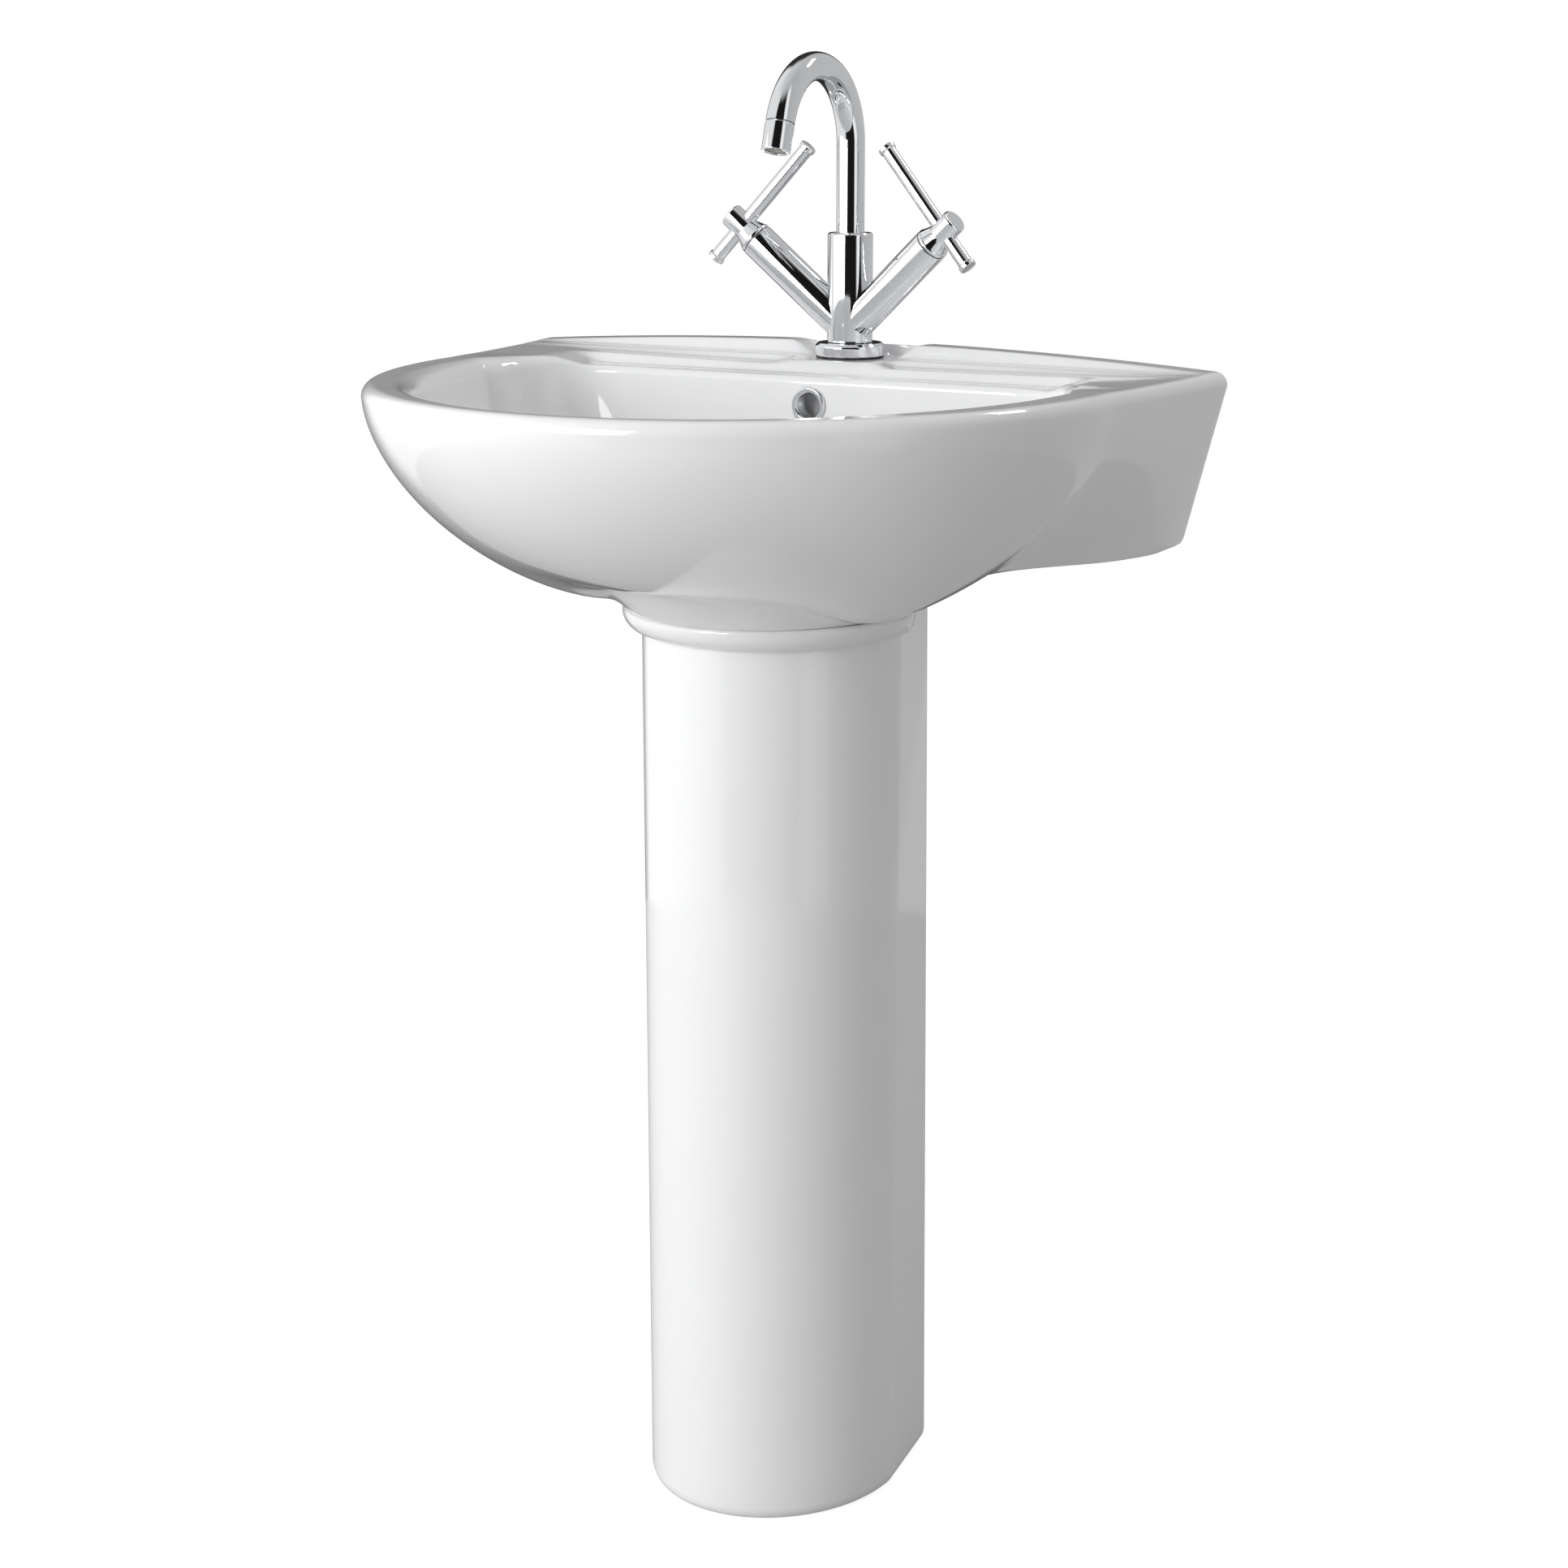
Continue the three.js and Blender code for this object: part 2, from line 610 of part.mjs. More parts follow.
function handleHub() {
  const foot = ARM_END + 0.6;
  const shell = solid(turned([
    [0, foot], [ARM_RADIUS - 0.2, foot], [ARM_RADIUS - 0.2, foot + 1.6], [HUB_RADIUS, foot + 10],
    [HUB_RADIUS, HUB_END - 1], [HUB_RADIUS - 1, HUB_END], [0, HUB_END],
  ], 20));
  const socket = solid(disc(4.4, foot - 5, BAR_AT, 16));
  const crossHole = solid(disc(BAR_RADIUS + GAP, -20, 20, 16).rotateY(-QUARTER).translate(0, 0, BAR_AT));
  const screwHole = solid(disc(2.2, 2, 20, 12).rotateX(-QUARTER).translate(0, 0, foot + 5));
  return geometryOf(cut(shell, socket, crossHole, screwHole));
}

function handleGrubScrew() {
  return disc(1.9, 4.5, 10.4, 12).rotateX(-QUARTER).translate(0, 0, ARM_END + 5.6);
}

// The bar lies across the hub, its long side up and towards the middle of the tap.
function handleBar(side) {
  const end = BAR_RADIUS + 1;
  const neck = 3;
  const bar = turned([
    [0, -BAR_SHORT], [end, -BAR_SHORT], [end, -BAR_SHORT + 2], [BAR_RADIUS, -BAR_SHORT + neck],
    [BAR_RADIUS, BAR_LONG - neck], [end, BAR_LONG - 2], [end, BAR_LONG], [0, BAR_LONG],
  ], 20);
  return bar.rotateY(-side * QUARTER).translate(0, 0, BAR_AT);
}

// The swan neck: straight up from its foot and over in an arc towards the front.
class SwanNeck extends THREE.Curve {
  getPoint(t, target = new THREE.Vector3()) {
    const straight = SPRING_Z - SPOUT_FOOT;
    const along = t * (straight + SPOUT_BEND * SPOUT_SWEEP);
    if (along < straight) {
      return target.set(0, 0, SPOUT_FOOT + along);
    }
    const angle = (along - straight) / SPOUT_BEND;
    return target.set(0, -SPOUT_BEND * (1 - Math.cos(angle)), SPRING_Z + SPOUT_BEND * Math.sin(angle));
  }
}

function roundShape(radius) {
  return new THREE.Shape().absarc(0, 0, radius, 0, 2 * Math.PI, false);
}

function spoutPipe() {
  const options = { steps: 19, extrudePath: new SwanNeck(), bevelEnabled: false, curveSegments: 7 };
  const shape = roundShape(PIPE_RADIUS);
  shape.holes.push(new THREE.Path().absarc(0, 0, PIPE_BORE, 0, 2 * Math.PI, true));
  return new THREE.ExtrudeGeometry(shape, options);
}

// Places a piece made about +Z, with its outlet end at 0, on the end of the swan neck.
function onOutlet(geometry) {
  const y = -SPOUT_BEND * (1 - Math.cos(SPOUT_SWEEP)) - AERATOR_LENGTH * Math.sin(SPOUT_SWEEP);
  const z = SPRING_Z + SPOUT_BEND * Math.sin(SPOUT_SWEEP) + AERATOR_LENGTH * Math.cos(SPOUT_SWEEP);
  return geometry.rotateX(SPOUT_SWEEP - Math.PI).translate(0, y, z);
}

function aeratorHousing() {
  const top = AERATOR_LENGTH - GAP;
  const spigot = PIPE_BORE - 1;
  return turned([
    [7.4, 0], [PIPE_RADIUS - 0.6, 0], [PIPE_RADIUS, 0.6], [PIPE_RADIUS, top], [spigot, top],
    [spigot, top + 7], [5.5, top + 7], [5.5, 13], [7.4, 13],
  ], 24);
}

// ---- materials ----

const FINISH = {
  ceramic: { color: 0xf1f1f0, roughness: 0.08, metalness: 0 },
  chrome: { color: 0xd9dcdf, roughness: 0.05, metalness: 1 },
  brass: { color: 0xb08d4a, roughness: 0.3, metalness: 1 },
  steel: { color: 0x9a9da1, roughness: 0.35, metalness: 1 },
  rubber: { color: 0x1c1c1d, roughness: 0.8, metalness: 0 },
  plastic: { color: 0xe8e8e6, roughness: 0.35, metalness: 0 },
  acetal: { color: 0xcfd0cf, roughness: 0.5, metalness: 0 },
};

const model = new THREE.Group();

function add(parent, name, geometry, finish) {
  const mesh = new THREE.Mesh(clean(geometry), new THREE.MeshStandardMaterial(FINISH[finish]));
  mesh.name = name;
  parent.add(mesh);
  return mesh;
}

function placed(x, y, z) {
  const group = new THREE.Group();
  group.position.set(x, y, z);
  model.add(group);
  return group;
}

// ---- assembly ----

function addCeramic() {
  add(model, 'basin', basin(), 'ceramic');
  add(model, 'pedestal', pedestal(), 'ceramic');
  const overflow = add(model, 'overflow_ring', overflowRing(), 'chrome');
  overflow.rotation.x = QUARTER;
  overflow.position.set(0, OVERFLOW.y, OVERFLOW.z);
}

function addWaste() {
  const waste = placed(0, WASTE_Y, 0);
  const boss = BOSS_Z;
  add(waste, 'waste_body', wasteBody(), 'chrome');
  add(waste, 'waste_top_seal', ring(23.5, 30, BOWL_FLOOR_Z + GAP, BOWL_FLOOR_Z + 1), 'rubber');
  add(waste, 'waste_bottom_seal', ring(21.4, 30, boss - 5.3, boss - GAP), 'rubber');
  add(waste, 'waste_backnut', nut(58, 21.4, boss - 14, boss - 5.6, 24), 'brass');
  add(waste, 'click_cartridge', clickCartridge(), 'acetal');
  add(waste, 'plug_stem', plugStem(), 'brass');
  add(waste, 'waste_plug', plugHead(), 'chrome');
  add(waste, 'plug_seal', plugSeal(), 'rubber');
}

function addTrap() {
  const trap = placed(0, WASTE_Y, 0);
  const lip = WASTE_BOTTOM - 7;
  add(trap, 'trap_inlet_nut', slipNut(16.4, 21.4, lip - 6, lip - GAP, WASTE_BOTTOM + 8, 27), 'plastic');
  add(trap, 'trap_inlet_seal', ring(14.5, 20.8, WASTE_BOTTOM - 2.7, WASTE_BOTTOM - GAP), 'rubber');
  add(trap, 'trap_body', trapBody(), 'plastic');
  add(trap, 'trap_cup', trapCup(), 'plastic');
  const outlet = placed(0, WASTE_Y, OUTLET_Z);
  outlet.rotation.x = -QUARTER;
  const wall = WALL_Y - WASTE_Y;
  add(outlet, 'trap_outlet_seal', ring(14.4, 17.8, 58.3, 61), 'rubber');
  add(outlet, 'trap_outlet_nut', slipNut(16.3, 18.2, 68, 63, 44, 23), 'plastic');
  add(outlet, 'trap_outlet_pipe', ring(14.4, OUTLET_RADIUS, 61.3, wall), 'plastic');
  add(outlet, 'trap_wall_flange', turned([
    [16.4, wall - 9], [19, wall - 9], [21, wall - 6], [31, wall - 3], [33, wall], [16.4, wall],
  ]), 'chrome');
}

function addTapBody(tap) {
  add(tap, 'tap_body', tapBody(), 'chrome');
  add(tap, 'tap_base_flange', baseFlange(), 'chrome');
  add(tap, 'tap_base_gasket', ring(18, 25.5, GAP, 1.3), 'rubber');
  add(tap, 'tap_stud', disc(4, -62, 16, 16), 'brass').position.y = STUD_Y;
  add(tap, 'tap_horseshoe_gasket', horseshoe(CLAMP_Z - 3.3, CLAMP_Z - GAP), 'rubber');
  add(tap, 'tap_horseshoe_washer', horseshoe(CLAMP_Z - 5.8, CLAMP_Z - 3.6), 'steel');
  add(tap, 'tap_stud_nut', nut(13, 4.3, CLAMP_Z - 20, CLAMP_Z - 6.1, 12), 'brass').position.y = STUD_Y;
  const nipples = { hot: -NIPPLE_X, cold: NIPPLE_X };
  for (const [name, x] of Object.entries(nipples)) {
    const nipple = add(tap, `${name}_inlet_nipple`, ring(3, 5, -46, 14, 16), 'brass');
    nipple.position.set(x, NIPPLE_Y, 0);
  }
}

function addValve(tap, name, side) {
  const pieces = {
    cartridge: [cartridge(), 'brass'],
    gland_nut: [glandNut(), 'brass'],
    spindle_o_ring: [torus(5.55, 0.9, ARM_END - 3.4), 'rubber'],
    spindle: [spindle(), 'brass'],
    handle_hub: [handleHub(), 'chrome'],
    handle_bar: [handleBar(side), 'chrome'],
    handle_grub_screw: [handleGrubScrew(), 'steel'],
  };
  for (const [piece, [geometry, finish]] of Object.entries(pieces)) {
    add(tap, `${name}_${piece}`, onArm(geometry, side), finish);
  }
}

function addSpout(tap) {
  add(tap, 'spout_pipe', spoutPipe(), 'chrome');
  add(tap, 'spout_bush', ring(PIPE_RADIUS + GAP, SPOUT_BORE - GAP, 81, COLUMN_TOP - GAP), 'acetal');
  add(tap, 'spout_upper_o_ring', torus((PIPE_RADIUS + SPOUT_BORE) / 2, 1, 77), 'rubber');
  add(tap, 'spout_lower_o_ring', torus((PIPE_RADIUS + SPOUT_BORE) / 2, 1, 70), 'rubber');
  const screw = disc(2, PIPE_RADIUS + 0.4, COLUMN_RADIUS - 0.6, 12).rotateX(-QUARTER);
  screw.translate(0, 0, SPOUT_FOOT + 5);
  add(tap, 'spout_grub_screw', screw, 'steel');
  add(tap, 'aerator_housing', onOutlet(aeratorHousing()), 'chrome');
  add(tap, 'aerator_insert', onOutlet(disc(7.1, 1, 11, 24)), 'acetal');
  add(tap, 'aerator_seal', onOutlet(ring(4.6, 7.1, 11.3, 12.7, 20)), 'rubber');
}

function addFixings() {
  for (const [name, side] of [['left', -1], ['right', 1]]) {
    const bolt = placed(side * BOLT_X, WALL_Y, BOLT_Z);
    bolt.rotation.x = QUARTER;
    const panel = BASIN_WALL + GAP;
    add(bolt, `${name}_wall_bolt`, disc(5, 0, 40, 16), 'steel');
    add(bolt, `${name}_wall_washer`, ring(5.4, 14, panel, panel + 2.5, 20), 'plastic');
    add(bolt, `${name}_wall_nut`, nut(17, 5.3, panel + 2.8, panel + 11, 12), 'steel');
    const screw = placed(side * LUG.x, LUG.y, 0);
    const top = LUG.height + 2.1;
    add(screw, `${name}_floor_washer`, ring(3.4, 8, LUG.height + GAP, top - GAP, 16), 'plastic');
    add(screw, `${name}_floor_screw`, turned([
      [0, 0], [3, 0], [3, top], [6, top], [6, top + 1.5], [4, top + 4], [0, top + 4],
    ], 16), 'steel');
  }
}

addCeramic();
addWaste();
addTrap();
const tap = placed(0, TAP_Y, RIM_Z);
addTapBody(tap);
addValve(tap, 'hot', -1);
addValve(tap, 'cold', 1);
addSpout(tap);
addFixings();

export default model;
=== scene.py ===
import json
import math

import bmesh
import bpy
from mathutils import Matrix, Vector


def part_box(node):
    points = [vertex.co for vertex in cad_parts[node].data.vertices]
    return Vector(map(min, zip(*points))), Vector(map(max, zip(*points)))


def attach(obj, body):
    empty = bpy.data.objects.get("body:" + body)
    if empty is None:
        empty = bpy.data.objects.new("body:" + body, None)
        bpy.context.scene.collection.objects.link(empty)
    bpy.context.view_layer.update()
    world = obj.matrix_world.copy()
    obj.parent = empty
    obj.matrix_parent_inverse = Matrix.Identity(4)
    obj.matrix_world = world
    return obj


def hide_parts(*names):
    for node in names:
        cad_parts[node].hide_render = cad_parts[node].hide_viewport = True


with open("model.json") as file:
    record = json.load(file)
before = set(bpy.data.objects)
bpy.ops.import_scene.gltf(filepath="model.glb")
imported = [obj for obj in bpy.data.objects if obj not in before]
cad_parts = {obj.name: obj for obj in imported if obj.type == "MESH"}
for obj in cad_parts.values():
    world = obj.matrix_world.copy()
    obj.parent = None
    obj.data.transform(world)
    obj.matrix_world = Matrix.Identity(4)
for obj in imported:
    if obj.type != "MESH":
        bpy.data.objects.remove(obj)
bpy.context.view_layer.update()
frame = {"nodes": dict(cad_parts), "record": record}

# The looks of a pedestal basin and its mixer tap. Lengths are millimetres unless a name says
# otherwise; +Z is up, the wall is at +Y and the user stands at -Y.
MM = 0.001
QUARTER = math.pi / 2
BODIES = frame["record"]["behaviour"]["bodies"]
BODY_OF = {node: body for body, nodes in BODIES.items() for node in nodes}
SLOT_OF = {part["node"]: part["material_slot"] for part in frame["record"]["subparts"]}


def corners(node):
    """The lowest and highest corner of a CAD node, in millimetres."""
    low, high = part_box(node)
    return low / MM, high / MM


# ---- sizes, worked out from the frame or the same as the CAD's driving dimensions ----

def plan(half, waist, front, back_half, back, corner):
    """A D-shaped outline's sizes: a half ellipse in front, straight sides, and a straight back."""
    return {
        "half": half, "waist": waist, "front": front,
        "back_half": back_half, "back": back, "corner": corner,
    }


GAP = 0.3
LIP_RISE = 10.5
BASIN_LOW, BASIN_HIGH = corners("basin")
RIM_Z = BASIN_HIGH.z - LIP_RISE
WALL_Y = BASIN_HIGH.y
FRONT_Y = BASIN_LOW.y
PEDESTAL_TOP = corners("pedestal")[1].z
NECK_Z = PEDESTAL_TOP + GAP
WASTE_Y = sum(corner.y for corner in corners("waste_body")) / 2
TAP_Y = sum(corner.y for corner in corners("tap_base_flange")) / 2

# Basin.
BASIN = plan(half=268, waist=58, front=FRONT_Y, back_half=BASIN_HIGH.x, back=WALL_Y, corner=10)
BOWL = plan(half=228, waist=58, front=-206, back_half=222, back=134, corner=60)
NECK_TOP = plan(half=112, waist=88, front=-62, back_half=78, back=177, corner=6)
NECK = plan(half=105, waist=88, front=-33, back_half=76, back=177, corner=6)
NECK_POCKET = plan(half=88, waist=88, front=-16, back_half=60, back=190, corner=6)
RIM_RADIUS = 9
FRONT_DEPTH = 138
SIDE_DEPTH = 165
CORNER_DEPTH = 127
BELLY_Y = (FRONT_Y, -40)
BOXY_Y = (45, 202)
SHALLOW_Y = (-109, 242)
BACK_TAPER = 0.11
BELLY_POWER = 1.65
MOUTH_RADIUS = 14
MOUTH_RADIUS_AT_DECK = 5.5
BASIN_WALL = 12
BOWL_FLOOR_Z = RIM_Z - 139
POCKET_Z = RIM_Z - 153
DUCT_Z = RIM_Z - 164
BOSS_Z = RIM_Z - 176
CAVITY_TOP_Z = RIM_Z - 20
DUCT_HALF = 15
DUCT_BACK = 154
OVERFLOW_Z = RIM_Z - 29.5
OVERFLOW_Y = 134.2
WASTE_HOLE = 23
TAP_HOLE = 17.5
FLANGE_RADIUS = 25.5

# Tap deck behind the bowl: a ledge, three low steps and a raised back lip.
DECK_Y = (67, 113)
LEDGE_DROP = 8.5
LEDGE_END = (188, 213)
LOW_TREAD = -3.2
HIGH_TREAD = 1.1
RISERS = (157.5, 182.5, 203.5)
RISER_RUN = 9
PLATFORM_HALF = (31, 54)
PLATFORM_FRONT = (159, 167)
PLATFORM_BACK = (224, 230)

# Pedestal.
FOOT = plan(half=95.5, waist=92, front=-18, back_half=83, back=177, corner=5)
HEAD = plan(half=97, waist=92, front=-18, back_half=78, back=177, corner=5)
FOOT_RADIUS = 6
FOOT_RISE = 10
LIP_OUT = 14
LIP_HEIGHT = 14
LIP_EDGE = 3
LIP_FADE = (60, 145)
LUG_INNER = 43
LUG_HALF = 13
LUG_HEIGHT = 14

# Points on half an outline: round the front, along a side, round a back corner, along the back.
FRONT_STEPS = 56
SIDE_STEPS = 18
CORNER_STEPS = 10
BACK_STEPS = 44
RING = 2 * (FRONT_STEPS + SIDE_STEPS + CORNER_STEPS + BACK_STEPS)


# ---- small helpers ----

def lerp(a, b, t):
    return a + (b - a) * t


def smooth(low, high, value):
    t = min(max((value - low) / (high - low), 0), 1)
    return t * t * (3 - 2 * t)


def steps(count):
    return [i / count for i in range(count + 1)]


def outline(shape):
    """A D-shaped outline from the front centre round by +X, as (x, y) points."""
    half, waist, front = shape["half"], shape["waist"], shape["front"]
    back_half, back, corner = shape["back_half"], shape["back"], shape["corner"]
    side = []
    for t in steps(FRONT_STEPS):
        angle = t * QUARTER
        side.append((half * math.sin(angle), waist - (waist - front) * math.cos(angle)))
    for t in steps(SIDE_STEPS)[1:]:
        side.append((lerp(half, back_half, t), lerp(waist, back - corner, t)))
    for t in steps(CORNER_STEPS)[1:]:
        across, along = corner * math.cos(t * QUARTER), corner * math.sin(t * QUARTER)
        side.append((back_half - corner + across, back - corner + along))
    for t in steps(BACK_STEPS)[1:]:
        side.append(((back_half - corner) * (1 - t), back))
    return side + [(-x, y) for x, y in reversed(side[1:-1])]


def moved(shape, inset):
    """The same outline with every side moved in by inset, or out if it is negative."""
    return {
        "half": shape["half"] - inset,
        "waist": shape["waist"],
        "front": shape["front"] + inset,
        "back_half": shape["back_half"] - inset,
        "back": shape["back"] - inset,
        "corner": max(shape["corner"] - inset, 1),
    }


def circle(radius, y):
    turn = 2 * math.pi / RING
    return [(radius * math.sin(j * turn), y - radius * math.cos(j * turn)) for j in range(RING)]


def flat_ring(points, z):
    return [(x, y, z) for x, y in points]


def mesh_object(name, points, faces, sharp_degrees=32):
    """A smooth-shaded mesh from points in millimetres, with its faces pointing out."""
    work = bmesh.new()
    corners_made = [work.verts.new(Vector(point) * MM) for point in points]
    for face in faces:
        work.faces.new([corners_made[i] for i in face])
    bmesh.ops.remove_doubles(work, verts=work.verts, dist=1e-6)
    bmesh.ops.recalc_face_normals(work, faces=work.faces)
    mesh = bpy.data.meshes.new(name)
    work.to_mesh(mesh)
    work.free()
    piece = bpy.data.objects.new(name, mesh)
    bpy.context.scene.collection.objects.link(piece)
    shade(piece, sharp_degrees)
    return piece


def shade(piece, sharp_degrees=32):
    for face in piece.data.polygons:
        face.use_smooth = True
    piece.data.set_sharp_from_angle(angle=math.radians(sharp_degrees))


def skin(name, rings, looped=False, sharp_degrees=32):
    """Rings of the same number of points, skinned, and closed with a fan at each end or into a loop."""
    count = len(rings[0])
    points = [point for ring in rings for point in ring]
    faces = []
    pairs = list(zip(range(len(rings) - 1), range(1, len(rings))))
    if looped:
        pairs.append((len(rings) - 1, 0))
    for low, high in pairs:
        for j in range(count):
            k = (j + 1) % count
            faces.append((low * count + j, low * count + k, high * count + k, high * count + j))
    if not looped:
        for ring in (0, len(rings) - 1):
            points.append(tuple(sum(p[axis] for p in rings[ring]) / count for axis in range(3)))
            for j in range(count):
                faces.append((len(points) - 1, ring * count + j, ring * count + (j + 1) % count))
    return mesh_object(name, points, faces, sharp_degrees)


def combine(piece, operation, *tools):
    """Cuts tools from a piece, or joins them to it, and removes the tools."""
    for tool in tools:
        change = piece.modifiers.new(operation.lower(), "BOOLEAN")
        change.operation = operation
        change.solver = "MANIFOLD"
        change.object = tool
        graph = bpy.context.evaluated_depsgraph_get()
        result = bpy.data.meshes.new_from_object(piece.evaluated_get(graph))
        piece.modifiers.remove(change)
        piece.data = result
        bpy.data.objects.remove(tool)
    shade(piece)
    return piece


def cut(piece, *tools):
    return combine(piece, "DIFFERENCE", *tools)


def join(piece, *tools):
    return combine(piece, "UNION", *tools)


def rounded(profile, radius, arc_steps=4):
    """A closed (radius, height) profile with its corners rounded, apart from those on the axis."""
    result = []
    for i, here in enumerate(profile):
        before = Vector(profile[i - 1])
        after = Vector(profile[(i + 1) % len(profile)])
        here = Vector(here)
        back, on = before - here, after - here
        repeated = min(back.length, on.length) < 1e-6
        straight = repeated or abs(back.normalized().cross(on.normalized())) < 0.05
        if here.x == 0 or straight:
            result.append(tuple(here))
            continue
        half_angle = back.angle(on) / 2
        reach = min(radius / math.tan(half_angle), 0.45 * back.length, 0.45 * on.length)
        start, end = here + back.normalized() * reach, here + on.normalized() * reach
        for t in steps(arc_steps):
            result.append(tuple(start.lerp(here, t).lerp(here.lerp(end, t), t)))
    return result


def turned(name, profile, edge=0.5, segments=96, middle=(0, 0, 0), turn=Matrix.Identity(4)):
    """A turned piece about +Z with rounded edges, turned and then moved to its middle."""
    rings = []
    for r, h in rounded(profile, edge):
        ring = []
        for j in range(segments):
            angle = 2 * math.pi * j / segments
            ring.append(turn @ Vector((r * math.cos(angle), r * math.sin(angle), h)) + Vector(middle))
        rings.append(ring)
    return skin(name, rings, looped=True)


def disc(radius, low, high, **more):
    return turned("disc", [(0, low), (radius, low), (radius, high), (0, high)], edge=0, **more)


def upright(points, low, high):
    """An upright solid with the same outline from low to high."""
    return skin("upright", [flat_ring(points, low), flat_ring(points, high)])


def block(low, high):
    (x0, y0, z0), (x1, y1, z1) = low, high
    section = [(x0, y0), (x1, y0), (x1, y1), (x0, y1)]
    return skin("block", [flat_ring(section, z0), flat_ring(section, z1)])


def stands_for(piece, node, material):
    """Names a fine piece after the CAD node that it replaces, and gives it its body, slot and material."""
    piece.name = f"{node}_fine"
    piece.data.name = piece.name
    piece.data.materials.clear()
    piece.data.materials.append(material)
    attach(piece, BODY_OF[node])
    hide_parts(node)
    return piece


# ---- materials ----

class Surface:
    """A Principled material whose colour, roughness and bump vary with the place on the object."""

    def __init__(self, name, color, roughness, metallic=0.0, ior=1.5):
        self.material = bpy.data.materials.new(name)
        self.material.use_nodes = True
        self.tree = self.material.node_tree
        self.shader = self.tree.nodes["Principled BSDF"]
        self.shader.inputs["Base Color"].default_value = (*color, 1)
        self.shader.inputs["Roughness"].default_value = roughness
        self.shader.inputs["Metallic"].default_value = metallic
        self.shader.inputs["IOR"].default_value = ior
        self.color = color
        self.place = self.tree.nodes.new("ShaderNodeTexCoord").outputs["Object"]
        self.height = None

    def stretched(self, scale):
        mapping = self.tree.nodes.new("ShaderNodeMapping")
        mapping.inputs["Scale"].default_value = scale
        self.tree.links.new(self.place, mapping.inputs["Vector"])
        return mapping.outputs["Vector"]

    def noise(self, scale, detail=2.0, place=None):
        noise = self.tree.nodes.new("ShaderNodeTexNoise")
        noise.inputs["Scale"].default_value = scale
        noise.inputs["Detail"].default_value = detail
        self.tree.links.new(place or self.place, noise.inputs["Vector"])
        return noise.outputs["Fac"]

    def spread(self, value, low, high):
        """Maps a 0.3 to 0.7 pattern to low to high."""
        spread = self.tree.nodes.new("ShaderNodeMapRange")
        for name, number in (("From Min", 0.3), ("From Max", 0.7), ("To Min", low), ("To Max", high)):
            spread.inputs[name].default_value = number
        self.tree.links.new(value, spread.inputs["Value"])
        return spread.outputs["Result"]

    def vary_roughness(self, pattern, low, high):
        self.tree.links.new(self.spread(pattern, low, high), self.shader.inputs["Roughness"])

    def vary_color(self, pattern, other):
        mix = self.tree.nodes.new("ShaderNodeMix")
        mix.data_type = "RGBA"
        mix.inputs["A"].default_value = (*self.color, 1)
        mix.inputs["B"].default_value = (*other, 1)
        self.tree.links.new(self.spread(pattern, 0, 1), mix.inputs["Factor"])
        self.tree.links.new(mix.outputs["Result"], self.shader.inputs["Base Color"])

    def bump(self, pattern, strength, distance):
        """Adds relief; distance is in metres. Later calls go on top of earlier ones."""
        bump = self.tree.nodes.new("ShaderNodeBump")
        bump.inputs["Strength"].default_value = strength
        bump.inputs["Distance"].default_value = distance
        self.tree.links.new(pattern, bump.inputs["Height"])
        if self.height:
            self.tree.links.new(self.height, bump.inputs["Normal"])
        self.height = bump.outputs["Normal"]
        self.tree.links.new(self.height, self.shader.inputs["Normal"])


def glazed_ceramic():
    """White vitreous china: a clear glaze with a faint waviness over a neutral white body."""
    surface = Surface("glazed_ceramic", (0.862, 0.866, 0.872), 0.07, ior=1.52)
    surface.vary_color(surface.noise(9, 3), (0.845, 0.849, 0.853))
    surface.vary_roughness(surface.noise(60, 3), 0.05, 0.1)
    surface.bump(surface.noise(14, 1), 0.12, 0.002)
    surface.bump(surface.noise(420, 2), 0.03, 0.0002)
    return surface.material


def polished_chrome():
    """Chrome plate over polished brass, with hairline wiping marks and the odd dulled patch."""
    surface = Surface("polished_chrome", (0.83, 0.84, 0.855), 0.035, metallic=1.0)
    surface.vary_roughness(surface.noise(90, 4, surface.stretched((1, 1, 7))), 0.02, 0.07)
    surface.vary_color(surface.noise(25, 2), (0.79, 0.8, 0.82))
    surface.bump(surface.noise(40, 1), 0.02, 0.0003)
    return surface.material


def turned_brass():
    """Bare brass with fine turning marks and darker patches."""
    surface = Surface("turned_brass", (0.66, 0.47, 0.2), 0.28, metallic=1.0)
    marks = surface.stretched((40, 40, 900))
    surface.vary_color(surface.noise(40, 4), (0.5, 0.34, 0.14))
    surface.vary_roughness(surface.noise(3, 4, marks), 0.2, 0.42)
    surface.bump(surface.noise(2, 2, marks), 0.2, 0.0002)
    return surface.material


def zinc_steel():
    """Zinc plated steel: dull and slightly mottled."""
    surface = Surface("zinc_plated_steel", (0.56, 0.57, 0.58), 0.34, metallic=1.0)
    surface.vary_color(surface.noise(160, 3), (0.43, 0.44, 0.46))
    surface.vary_roughness(surface.noise(90, 4), 0.24, 0.48)
    surface.bump(surface.noise(500, 3), 0.15, 0.0002)
    return surface.material


def moulded_rubber():
    """Black rubber with the matt skin that a mould leaves."""
    surface = Surface("moulded_rubber", (0.018, 0.018, 0.02), 0.7)
    surface.vary_color(surface.noise(120, 3), (0.035, 0.034, 0.034))
    surface.vary_roughness(surface.noise(220, 3), 0.6, 0.85)
    surface.bump(surface.noise(900, 3), 0.25, 0.0002)
    return surface.material


